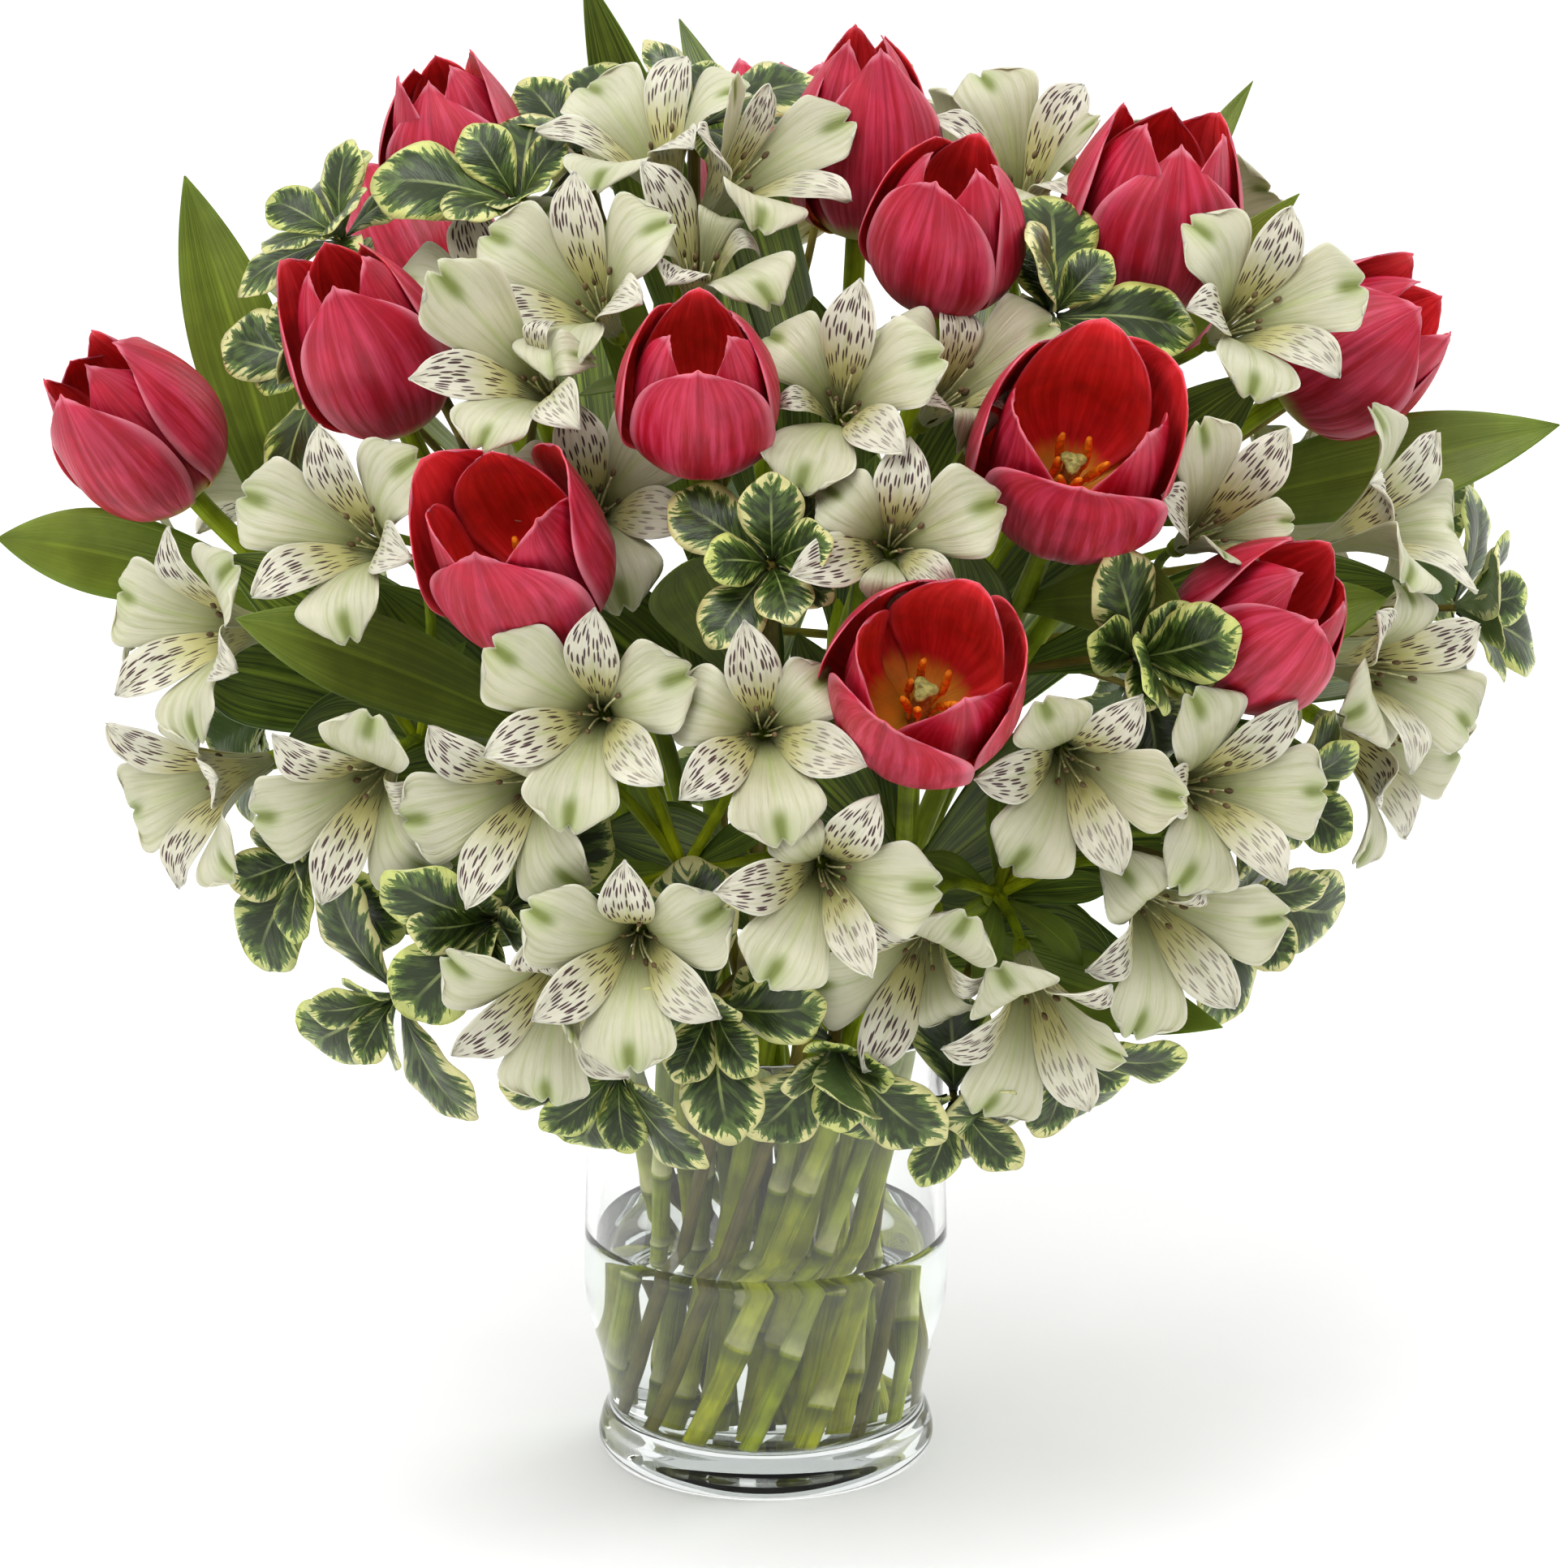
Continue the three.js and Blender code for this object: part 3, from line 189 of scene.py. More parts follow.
def lay_floor(half):
    """One square of side 2 * half at height zero."""
    mesh = bpy.data.meshes.new("floor")
    corners = [(-half, -half, 0), (half, -half, 0), (half, half, 0), (-half, half, 0)]
    mesh.from_pydata(corners, [], [(0, 1, 2, 3)])
    mesh.materials.append(plain_paper())
    floor = bpy.data.objects.new("floor", mesh)
    bpy.context.collection.objects.link(floor)
    floor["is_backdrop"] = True


def hang_lamp(name, place, side, power):
    """A square soft lamp at place, turned so that it shines at the flowers."""
    lamp = bpy.data.lights.new(name, "AREA")
    lamp.size = side
    lamp.energy = power
    stand = bpy.data.objects.new(name, lamp)
    stand.location = place
    x, y, z = place - FLOWERS
    stand.rotation_euler = (np.arctan2(np.hypot(x, y), z), 0, np.arctan2(x, -y))
    bpy.context.collection.objects.link(stand)


def white_tent(behind, front):
    """A white world whose brightness goes from front, on the camera's side, to behind."""
    world = bpy.data.worlds.new("white_tent")
    world.use_nodes = True
    tent = Recipe(world.node_tree)
    where = tent.node("ShaderNodeTexCoord").outputs["Generated"]
    depth = tent.node("ShaderNodeSeparateXYZ", {0: where}).outputs["Y"]
    light = tent.tree.nodes["Background"].inputs
    tent.feed(light["Color"], (1, 1, 1))
    tent.feed(light["Strength"], tent.ramp(depth, -0.9, 0.1, front, behind))
    bpy.context.scene.world = world


lay_floor(half=12.0)
white_tent(behind=0.92, front=0.45)
bpy.context.scene.view_settings.view_transform = "Standard"
bpy.context.scene.view_settings.look = "Medium High Contrast"
hang_lamp("key_lamp", place=(-0.5, -1.2, 2.1), side=1.7, power=32)
hang_lamp("rim_lamp", place=(1.4, 0.9, 1.2), side=0.8, power=8)
print("white tent and two soft lamps")

# %% The camera
HALF_VIEW = 6.81 * DEGREE  # half the angle that the picture takes in
PITCH = 16.5 * DEGREE
DISTANCE = 1.7
AIM = np.array([0.0048, 0.0, 0.1827])  # what it looks at

lens = bpy.data.cameras.new("camera")
lens.sensor_width = 36
lens.lens = lens.sensor_width / 2 / np.tan(HALF_VIEW)
lens.clip_start = 0.05
camera = bpy.data.objects.new("camera", lens)
camera.location = AIM + DISTANCE * np.array([0, -np.cos(PITCH), np.sin(PITCH)])
camera.rotation_euler = (np.pi / 2 - PITCH, 0, 0)
bpy.context.collection.objects.link(camera)
bpy.context.scene.camera = camera
print("camera at", [round(c, 3) for c in camera.location], "lens", round(lens.lens, 1))

# %% [markdown]
# ## Where everything grows
#
# The rows below are the plan of the bouquet, in millimetres, with +Z up and the camera on
# the -Y side. They are the rows that the solids were built from, so each fine flower lands
# on its own solid. A tulip has the middle of its bloom, where it faces, its height, its
# width, how open it is and its turn. An alstroemeria bloom has the middle of its open face,
# where it faces and its turn. A pittosporum whorl has its middle and where it faces, and a
# long leaf, listed under its stem, has its place on the way from the neck to the flower, its
# tip, its width and its arch.

# %% The plan of the bouquet
TULIPS = [
    ((-78, -14, 355), (-0.25, -0.2, 1), 39, 36, 0.12, 20),
    ((-158, -30, 285), (-0.55, -0.35, 0.8), 47, 41, 0.22, 0),
    ((-96, -84, 319), (-0.35, -0.4, 0.95), 49, 38, 0.26, 35),
    ((-58, -137, 280), (-0.3, -0.65, 0.8), 48, 44, 0.62, 15),
    ((-15, -130, 318), (0, -0.55, 0.85), 41, 38, 0.38, 30),
    ((24, -32, 359), (0.05, -0.12, 1), 50, 37, 0.1, 50),
    ((44, -90, 348), (0.12, -0.4, 0.9), 41, 38, 0.28, 5),
    ((96, -42, 343), (0.2, -0.25, 1), 47, 45, 0.26, 40),
    ((74, -122, 301), (0.12, -0.75, 0.7), 51, 49, 0.78, 25),
    ((149, -18, 302), (0.85, -0.2, 0.62), 45, 42, 0.3, 10),
    ((120, -114, 257), (0.6, -0.5, 0.65), 42, 40, 0.32, 30),
    ((38, -157, 254), (0.08, -0.8, 0.6), 43, 46, 0.74, 0),
    ((-92, 92, 306), (-0.5, 0.6, 0.8), 47, 40, 0.28, 10),
    ((2, 112, 326), (0, 0.55, 0.85), 48, 42, 0.45, 40),
    ((104, 84, 298), (0.55, 0.6, 0.7), 47, 41, 0.25, 20),
]
ALSTROEMERIAS = {
    "top": [
        (-30, -48, 366, -0.3, -0.35, 0.9, 0), (-1, -62, 362, 0.5, -0.5, 0.75, 40),
        (-46, -98, 338, -0.35, -0.7, 0.65, 15), (-14, -84, 346, 0.1, -0.5, 0.8, 70),
    ],
    "upper_left": [
        (-70, -62, 330, -0.4, -0.4, 0.8, 30), (-58, -118, 322, -0.3, -0.8, 0.55, 0),
        (-40, -116, 288, 0, -0.9, 0.4, 45),
    ],
    "upper_middle": [
        (16, -128, 318, -0.1, -0.85, 0.5, 10), (50, -112, 318, 0.4, -0.7, 0.6, 50),
        (30, -148, 286, 0, -0.95, 0.35, 20),
    ],
    "upper_right": [
        (66, -32, 357, 0.1, -0.55, 0.85, 0), (122, -72, 326, 0.4, -0.75, 0.5, 30),
        (56, 48, 344, 0.25, 0.5, 0.85, 15), (114, 36, 333, 0.6, 0.45, 0.7, 60),
    ],
    "right": [
        (112, -112, 282, 0.4, -0.8, 0.45, 15), (160, -62, 272, 0.85, -0.35, 0.45, 40),
        (159, -85, 237, 0.7, -0.7, 0.15, 0), (160, -66, 206, 0.8, -0.5, -0.35, 55),
    ],
    "lower_right": [
        (112, -132, 220, 0.45, -0.85, 0.2, 20), (74, -150, 228, 0.1, -1, 0, 0),
        (99, -138, 185, 0.4, -0.85, -0.25, 35), (67, -147, 163, 0.15, -0.85, -0.45, 10),
        (36, -155, 178, -0.15, -0.9, -0.35, 50),
    ],
    "middle": [
        (-42, -158, 246, -0.15, -0.95, 0.25, 15), (0, -162, 244, 0, -0.95, 0.3, 40),
        (14, -170, 208, 0, -1, 0.1, 0), (-32, -166, 188, -0.1, -1, 0, 25),
        (-62, -152, 222, -0.4, -0.9, -0.05, 50), (-53, -154, 170, -0.3, -0.85, -0.45, 5),
    ],
    "left": [
        (-102, -119, 281, -0.45, -0.8, 0.4, 20), (-141, -97, 250, -0.75, -0.65, 0.15, 0),
        (-143, -93, 208, -0.75, -0.65, -0.1, 35), (-98, -139, 218, -0.3, -0.95, -0.15, 55),
    ],
    "back_left": [
        (-40, 80, 340, -0.3, 0.55, 0.8, 10), (-62, 134, 284, -0.4, 0.85, 0.45, 40),
        (-134, 80, 248, -0.75, 0.6, 0.3, 0), (-64, 140, 218, -0.35, 0.9, 0, 50),
        (-160, 12, 236, -0.95, 0.1, 0.15, 15),
    ],
    "back_right": [
        (52, 96, 330, 0.3, 0.6, 0.75, 20), (56, 142, 262, 0.35, 0.9, 0.3, 0),
        (142, 74, 236, 0.8, 0.5, 0.1, 45), (66, 136, 200, 0.35, 0.9, -0.15, 10),
        (164, 18, 218, 0.95, 0.15, 0, 60),
    ],
}
PITTOSPORUMS = {
    "upper_left": [
        (-110, -28, 339, -0.5, -0.4, 0.8), (-115, -46, 307, -0.8, -0.5, 0.5),
        (-62, -52, 352, -0.2, -0.6, 0.8),
    ],
    "top": [
        (-17, -14, 366, 0.05, -0.3, 1), (-49, -18, 360, -0.3, -0.4, 1),
        (16, 50, 345, 0.1, 0.4, 1),
    ],
    "centre": [
        (2, -146, 282, 0, -0.85, 0.5), (72, -84, 330, 0.3, -0.7, 0.7),
        (92, -130, 252, 0.4, -0.85, 0.2),
    ],
    "right": [
        (156, 52, 286, 0.8, 0.4, 0.5), (184, -22, 236, 0.9, -0.3, 0.1),
        (170, 58, 238, 0.8, 0.5, 0.1),
    ],
    "lower_right": [
        (120, -112, 184, 0.6, -0.75, -0.2), (77, -126, 146, 0.4, -0.7, -0.6),
        (47, -132, 135, 0.1, -0.8, -0.5), (130, -104, 210, 0.7, -0.7, -0.1),
    ],
    "lower_middle": [
        (17, -147, 154, 0, -0.85, -0.5), (-14, -152, 168, -0.2, -0.95, -0.2),
        (-38, -129, 141, -0.3, -0.8, -0.6),
    ],
    "lower_left": [
        (-95, -120, 159, -0.6, -0.7, -0.4), (-67, -143, 188, -0.3, -0.9, -0.1),
        (-140, 44, 188, -0.9, 0.3, -0.3), (-118, -94, 189, -0.7, -0.65, -0.2),
    ],
    "back": [
        (0, 152, 240, 0, 0.95, 0.2), (-112, 110, 190, -0.6, 0.7, -0.4),
        (104, 112, 176, 0.5, 0.7, -0.4), (0, 138, 158, 0, 0.8, -0.6),
    ],
}
LONG_LEAVES = {
    "tulip_stem_01": [(0.4, -66, 124, 322, 26, 16)],
    "tulip_stem_02": [
        (0.75, -147, 8, 341, 24, -4), (0.72, -193, -30, 256, 22, 14),
        (0.35, -172, 48, 212, 26, 22), (0.45, -150, -40, 216, 28, 8),
        (0.3, -130, -58, 212, 28, 8), (0.2, -106, -74, 172, 24, 8),
    ],
    "tulip_stem_03": [
        (0.45, -134, -56, 258, 28, 8), (0.32, -96, -74, 256, 28, 8),
    ],
    "tulip_stem_04": [
        (0.62, -125, -124, 267, 22, 10), (0.45, -118, -98, 234, 28, 8),
        (0.28, -92, -92, 184, 28, 8),
    ],
    "tulip_stem_05": [
        (0.6, -31, -134, 284, 22, 12), (0.45, -54, -90, 262, 28, 8), (0.26, -36, -104, 196, 26, 8),
        (0.4, -14, -84, 272, 26, 8),
    ],
    "tulip_stem_06": [
        (0.55, -8, 60, 372, 24, 10), (0.5, 12, -48, 322, 26, 6),
    ],
    "tulip_stem_07": [(0.5, 66, -58, 306, 26, 8)],
    "tulip_stem_08": [
        (0.7, 109, 6, 371, 12, 6), (0.4, 62, 120, 300, 26, 18), (0.5, 122, -62, 306, 26, 8),
    ],
    "tulip_stem_09": [
        (0.75, 105, -136, 264, 20, 12), (0.45, 46, -90, 272, 28, 8), (0.26, 84, -82, 186, 28, 8),
        (0.2, 78, -74, 166, 26, 8),
    ],
    "tulip_stem_10": [
        (0.74, 201, -12, 281, 24, 12), (0.35, 176, 56, 196, 26, 22), (0.5, 160, -36, 246, 28, 8),
    ],
    "tulip_stem_11": [
        (0.35, 126, -70, 196, 28, 8), (0.3, 140, -64, 222, 28, 8),
    ],
    "tulip_stem_12": [
        (0.38, 80, -102, 222, 28, 8), (0.45, -10, -112, 238, 26, 8), (0.2, 88, -70, 170, 26, 8),
        (0.3, 8, -84, 246, 24, 8),
    ],
    "tulip_stem_13": [
        (0.6, -140, 92, 300, 24, 14), (0.3, -112, 128, 222, 28, 22),
    ],
    "tulip_stem_14": [
        (0.6, -46, 20, 391, 20, 4), (0.62, -20, 150, 320, 24, 16), (0.3, 4, 158, 204, 28, 24),
    ],
    "tulip_stem_15": [
        (0.6, 150, 88, 268, 24, 14), (0.3, 112, 122, 208, 28, 22),
    ],
    "alstroemeria_stem_back_left": [(0.6, -152, 84, 196, 22, 14)],
    "alstroemeria_stem_back_right": [(0.6, 92, 138, 296, 22, 14)],
    "alstroemeria_stem_lower_right": [(0.7, 98, -134, 158, 18, 10)],
    "alstroemeria_stem_right": [(0.76, 152, -70, 262, 18, 10)],
    "alstroemeria_stem_top": [(0.7, -45, -64, 360, 13, 6)],
    "alstroemeria_stem_upper_right": [(0.75, 134, -10, 340, 16, 8)],
}

BLOOMS, LEAVES = (sum(map(len, plan.values())) for plan in (ALSTROEMERIAS, LONG_LEAVES))
print(len(TULIPS), "tulips,", BLOOMS, "alstroemeria blooms,", LEAVES, "long leaves")

# %% [markdown]
# ## Turning and placing
#
# Every bloom and whorl is shaped standing upright on the origin, because there its formula
# is short, and is then turned to where it faces and moved to its base. The turn that tips it
# over is the smallest one that takes one direction to another.

# %% Turns and grids
def unit(vectors):
    """Vectors scaled to length one."""
    vectors = np.asarray(vectors, float)
    return vectors / np.linalg.norm(vectors, axis=-1, keepdims=True)


def turn_to(face, turn):
    """The matrix that turns by `turn` degrees about +Z and then takes +Z to face."""
    x, y, z = unit(face)
    lean = np.array([[0, 0, x], [0, 0, y], [-x, -y, 0]])
    tip_over = np.eye(3) + lean + lean @ lean / (1 + z)
    c, s = np.cos(turn * DEGREE), np.sin(turn * DEGREE)
    return tip_over @ np.array([[c, -s, 0], [s, c, 0], [0, 0, 1]])


def place(points, seat):
    """Points shaped on the origin, moved to a seat: its base, its face and its turn."""
    return points @ turn_to(seat["face"], seat["turn"]).T + seat["base"]


def seen_from(point, seat):
    """The same the other way: a point of the bouquet as the seat sees it."""
    return (point - seat["base"]) @ turn_to(seat["face"], seat["turn"])


def across_and_along(rows, cols):
    """Two grids: u runs across a blade from -1 to 1 and v along it from 0 to 1."""
    u, v = np.meshgrid(np.linspace(-1, 1, cols), np.linspace(0, 1, rows))
    return u, v


def swell(value, low, high):
    """0 below low, 1 above high, and a straight ramp between them."""
    return np.clip((value - low) / (high - low), 0, 1)


def ease(value, low, high):
    """The same with a quarter of a sine: quick at low, and level where it reaches 1."""
    return np.sin(np.pi / 2 * swell(value, low, high))


def ridge(value, width):
    """A bell curve: 1 where value is 0, falling to about a third at the width."""
    return np.exp(-((value / width) ** 2))


def ray(angle, out, left, up):
    """Points that lie so far out in a direction, so far to the left of it and so high up."""
    c, s = np.cos(angle), np.sin(angle)
    parts = np.broadcast_arrays(out * c - left * s, out * s + left * c, up)
    return np.stack(parts, axis=-1)


def bezier(t, *points):
    """A Bezier curve: neighbours are mixed by t until one point is left."""
    while len(points) > 1:
        points = [(1 - t) * a + t * b for a, b in zip(points, points[1:])]
    return points[0]


# %% [markdown]
# ## Blades and stems
#
# A petal or leaf is thin but not infinitely thin. It is made as a grid of middle points that
# is moved half its thickness to either side along its own normal, with a band of faces
# closing the rim, so it is a closed body. A stem is a ring carried along a path, closed with
# a strip of faces at each end. Each shape also carries marks for its finish: how far across
# and along a point lies, which face it is on, a tone of its own and a kind.

# %% Closed blades and stems from grids
Shape = namedtuple("Shape", "points quads marks finish")
RIM = 0.35  # thickness at the rim of a blade, as a part of that in its middle


def grid_quads(rows, cols, ring=False):
    """The four corners of each cell of a grid; a ring also joins its last column to its first."""
    i, j = np.meshgrid(np.arange(rows - 1), np.arange(cols if ring else cols - 1), indexing="ij")
    right = (j + 1) % cols
    corners = [i * cols + j, i * cols + right, (i + 1) * cols + right, (i + 1) * cols + j]
    return np.stack(corners, axis=-1).reshape(-1, 4)


def rim_loop(rows, cols):
    """The indices round the edge of a grid, in the order in which its faces turn."""
    grid = np.arange(rows * cols).reshape(rows, cols)
    return np.concatenate([grid[0, :-1], grid[:-1, -1], grid[-1, :0:-1], grid[:0:-1, 0]])


def blade(middle, thick, u, v, tone, kind=0.0, finish=0):
    """A closed blade: both faces lie half the thickness from the grid of middles, measured
    along the cross product of its two directions, and the rim is thinner."""
    rows, cols = u.shape
    normal = unit(np.cross(np.gradient(middle, axis=1), np.gradient(middle, axis=0)))
    half = thick / 2 * (RIM + (1 - RIM) * (1 - np.abs(u) ** 4) * (1 - v**8))
    lift = (normal * half[..., None]).reshape(-1, 3)
    flat = middle.reshape(-1, 3)
    quads = grid_quads(rows, cols)
    loop = rim_loop(rows, cols)
    ahead = np.roll(loop, -1)
    n = rows * cols
    rim = np.stack([loop + n, ahead + n, ahead, loop], axis=-1)
    marks = {
        "across": np.tile(u.ravel(), 2),
        "along": np.tile(v.ravel(), 2),
        "upper": np.repeat([0.0, 1.0], n),
        "tone": np.full(2 * n, tone),
        "kind": np.tile(np.broadcast_to(kind, u.shape).ravel(), 2),
    }
    points = np.concatenate([flat + lift, flat - lift])
    return Shape(points, np.concatenate([quads, quads[:, ::-1] + n, rim]), marks, finish)


def stem(path, radius, sides, tone=0.5, ring=0.0, kind=0.0, finish=0):
    """A closed stem: a circle of the given radius in the plane across the path at each of its
    points, with both ends closed by strips of faces from side to side. As it has no upper
    face, that mark holds the rings of its joints."""
    rows = len(path)
    along = unit(np.gradient(path, axis=0))
    hinge = np.cross(along[0], along[-1])
    if np.linalg.norm(hinge) < 1e-3:
        hinge = np.cross(along[0], np.eye(3)[np.argmin(np.abs(along[0]))])
    normal = unit(np.cross(unit(hinge), along))
    side = np.cross(along, normal)
    angle = np.arange(sides) * 2 * np.pi / sides
    radius = np.broadcast_to(radius, (rows,))[:, None, None]
    spokes = np.cos(angle)[:, None] * normal[:, None] + np.sin(angle)[:, None] * side[:, None]
    points = (path[:, None] + radius * spokes).reshape(-1, 3)
    k = np.arange(sides // 2 - 1)
    foot = np.stack([k + 1, k, sides - 1 - k, sides - 2 - k], axis=-1)
    top = np.stack([k, k + 1, sides - 2 - k, sides - 1 - k], axis=-1) + (rows - 1) * sides
    marks = {
        "across": np.tile(np.cos(angle), rows),
        "along": np.repeat(np.linspace(0, 1, rows), sides),
        "upper": np.repeat(np.broadcast_to(ring, (rows,)), sides),
        "tone": np.full(rows * sides, tone),
        "kind": np.full(rows * sides, kind),
    }
    quads = np.concatenate([grid_quads(rows, sides, ring=True), foot, top])
    return Shape(points, quads, marks, finish)


def lathe(profile, sides, tone=0.5, finish=0, lobes=0.0):
    """A closed turned body: each [radius, height] of the profile becomes a ring about +Z.
    lobes makes the rings three-lobed by that part of their radius, more and more up to a
    height of 9."""
    profile = np.asarray(profile, float)
    radius, height = profile[:, :1], profile[:, 1:]
    angle = np.arange(sides) * 2 * np.pi / sides
    radius = radius * (1 + lobes * np.cos(3 * angle) * swell(height, 0, 9))
    rod = stem(np.outer(np.arange(len(profile)), UP), 1.0, sides, tone, finish=finish)
    return rod._replace(points=ray(angle, radius, 0, height).reshape(-1, 3))


def placed(shapes, seat):
    """Shapes made on the origin, moved to a seat."""
    return [shape._replace(points=place(shape.points, seat)) for shape in shapes]


# %% [markdown]
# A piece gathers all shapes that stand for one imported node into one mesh. The marks go in as
# point attributes, which the finishes read by name.

# %% From shapes to a piece
def grow(name, node, shapes, finishes):
    """One closed mesh object out of many shapes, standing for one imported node; returns how
    many triangles it has."""
    starts = np.cumsum([0] + [len(shape.points) for shape in shapes])
    points = np.concatenate([shape.points for shape in shapes]) * MM
    quads = np.concatenate([shape.quads + start for shape, start in zip(shapes, starts)])
    finish = np.concatenate([np.full(len(shape.quads), shape.finish) for shape in shapes])
    mesh = bpy.data.meshes.new(name)
    mesh.vertices.add(len(points))
    mesh.vertices.foreach_set("co", points.ravel())
    mesh.loops.add(quads.size)
    mesh.loops.foreach_set("vertex_index", quads.ravel())
    mesh.polygons.add(len(quads))
    mesh.polygons.foreach_set("loop_start", np.arange(0, quads.size, 4))
    mesh.polygons.foreach_set("material_index", finish)
    mesh.polygons.foreach_set("use_smooth", np.ones(len(quads), bool))
    for mark in shapes[0].marks:
        layer = mesh.attributes.new(mark, "FLOAT", "POINT")
        layer.data.foreach_set("value", np.concatenate([shape.marks[mark] for shape in shapes]))
    for material in finishes:
        mesh.materials.append(material)
    mesh.update(calc_edges=True)
    piece = bpy.data.objects.new(name, mesh)
    bpy.context.collection.objects.link(piece)
    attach(piece, "root")
    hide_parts(node)
    return len(quads) * 2


def solid_points(node):
    """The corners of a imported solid, in millimetres."""
    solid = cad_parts[node]
    corners = np.empty(3 * len(solid.data.vertices))
    solid.data.vertices.foreach_get("co", corners)
    world = np.array(solid.matrix_world)
    return (corners.reshape(-1, 3) @ world[:3, :3].T + world[:3, 3]) / MM


def closest(choices, outline, corners):
    """The choice whose outline lies nearest to the corners of the solid, which is the one
    that the solid was built with, and how far off it lies."""
    gaps = []
    for choice in choices:
        away = outline(choice)[:, None] - corners[None]
        gaps.append(np.sqrt((away**2).sum(-1).min(1)).mean())
    return choices[int(np.argmin(gaps))], min(gaps)


# %% [markdown]
# ## Stems in a spiral
#
# A florist turns the bunch in the hand, so every stem runs straight from its foot through
# the neck of the vase at a slant, and no two meet. The most upright flowers sit in the
# middle of the neck, the others in rings round them in the order in which they stand. Above
# the neck each stem bends to its flower along a cubic Bezier curve.

# %% Seats at the neck
GAP = 0.3  # the space that touching meshes keep
NECK = np.array([0.0, 0.0, 112.0])
SPIRAL = 68 * DEGREE  # how far round the vase a stem goes between foot and neck
FOOT_SPREAD = 0.84  # how far out a foot stands, as a part of its stem's place at the neck
FOOT_DIP = 0.36  # how far the rim of a slanted foot reaches down, in parts of its radius
FLOOR = 9  # height of the bottom inside the vase
SEATS = (1, 6, 12, 14)  # places in each ring, from the middle outwards
RING_STEP = 12.5  # between the radii of two rings
TULIP_STEM, ALSTROEMERIA_STEM, WOOD_STEM = 3.0, 2.4, 1.9
IN_VASE = 0.2  # the part of a stem's t that lies between foot and neck
HANDLES = 0.35, 0.3  # of its curve at the neck and at the flower, as parts of the distance


def lean_of(head):
    """How far a stem leans out from the neck to its flower."""
    return np.arctan2(np.hypot(head[0], head[1]), head[2] - NECK[2])


def side_of(head):
    """The side of the vase on which a flower stands, as an angle."""
    return np.arctan2(head[1], head[0])


def seat_stems(stems):
    """Gives each stem its point at the neck and its foot, ring by ring from the middle."""
    order = sorted(stems, key=lambda one: lean_of(one["head"]))
    first = 0
    for ring, places in enumerate(SEATS):
        group = sorted(order[first:first + places], key=lambda one: side_of(one["head"]))
        first += places
        steps = 2 * np.pi * np.arange(len(group)) / places
        start = np.mean([side_of(one["head"]) for one in group] - steps)
        radius = ring * RING_STEP
        for one, step in zip(group, steps):
            low = FLOOR + GAP + FOOT_DIP * one["radius"]
            one["neck"] = NECK + ray(start + step, radius, 0, 0)
            one["foot"] = ray(start + step - SPIRAL, FOOT_SPREAD * radius, 0, low)


def stem_point(one, t):
    """A point of a stem: the first fifth of t runs straight from foot to neck, the rest
    along a cubic Bezier that leaves the neck straight and meets the flower from behind."""
    t = np.atleast_1d(np.asarray(t, float))[:, None]
    rise = unit(one["neck"] - one["foot"])
    reach = np.linalg.norm(one["head"] - one["neck"])
    a, d = one["neck"], one["head"]
    b, c = a + HANDLES[0] * reach * rise, d - HANDLES[1] * reach * one["face"]
    curve = bezier((t - IN_VASE) / (1 - IN_VASE), a, b, c, d)
    return np.where(t < IN_VASE, bezier(t / IN_VASE, one["foot"], a), curve)


def above_neck(share):
    """The t of a point that lies this share of the way from the neck to the flower."""
    return IN_VASE + (1 - IN_VASE) * share


stems = {}


def add_stem(node, head, face, radius):
    """A stem that ends at head and runs in the direction of face there."""
    stems[node] = {"head": head, "face": unit(face), "radius": radius}
    return stems[node]


def seat_at(row, reach, turn):
    """The seat of a row of the plan: its base lies reach behind the middle of the face."""
    face = unit(row[3:6])
    return {"face": face, "base": np.array(row[:3]) - reach * face, "turn": turn}


# %% Seats of the tulips
tulips = []
for number, (at, face, high, wide, open_, turn) in enumerate(TULIPS, 1):
    seat = seat_at((*at, *face), high / 2, turn)
    head = seat["base"] - GAP * seat["face"]
    add_stem(f"tulip_stem_{number:02d}", head, seat["face"], TULIP_STEM)
    tulips.append({**seat, "number": f"{number:02d}", "high": high, "wide": wide, "open": open_})

# %% Seats of the alstroemerias and pittosporums
FACE_REACH = 30  # from the ovary of a bloom to the middle of its open face
FORK_BACK = 34  # how far a spray forks before the middle of its ovaries
FORK_RADIUS = 3
WHORL_REACH = 10  # from the end of a twig to the middle of its whorl
TWIGS, TWIG_STEP = 0.5, 0.08  # the t of a stem from which its twigs follow, and between two

sprays = {}
for name, rows in ALSTROEMERIAS.items():
    blooms = [seat_at(row, FACE_REACH, row[6]) for row in rows]
    middle = np.mean([bloom["base"] for bloom in blooms], axis=0)
    fork = middle + (NECK - middle) * FORK_BACK / np.linalg.norm(NECK - middle)
    face = unit(fork - NECK)
    head = fork - (FORK_RADIUS + GAP) * face
    add_stem(f"alstroemeria_stem_{name}", head, face, ALSTROEMERIA_STEM)
    sprays[name] = {"blooms": blooms, "base": fork, "face": face, "turn": 0}

sprigs = {}
for i, (name, rows) in enumerate(PITTOSPORUMS.items()):
    sprigs[name] = []
    for k, row in enumerate(rows):
        seed = 0.7 * i + k
        on_stem = TWIGS + TWIG_STEP * k if k else None
        whorl = {**seat_at(row, WHORL_REACH, 40 * seed), "seed": seed, "on_stem": on_stem}
        sprigs[name].append(whorl)
    first = sprigs[name][0]
    add_stem(f"pittosporum_{name}", first["base"] + first["face"], first["face"], WOOD_STEM)

seat_stems(list(stems.values()))
print(len(stems), "stems seated at the neck")

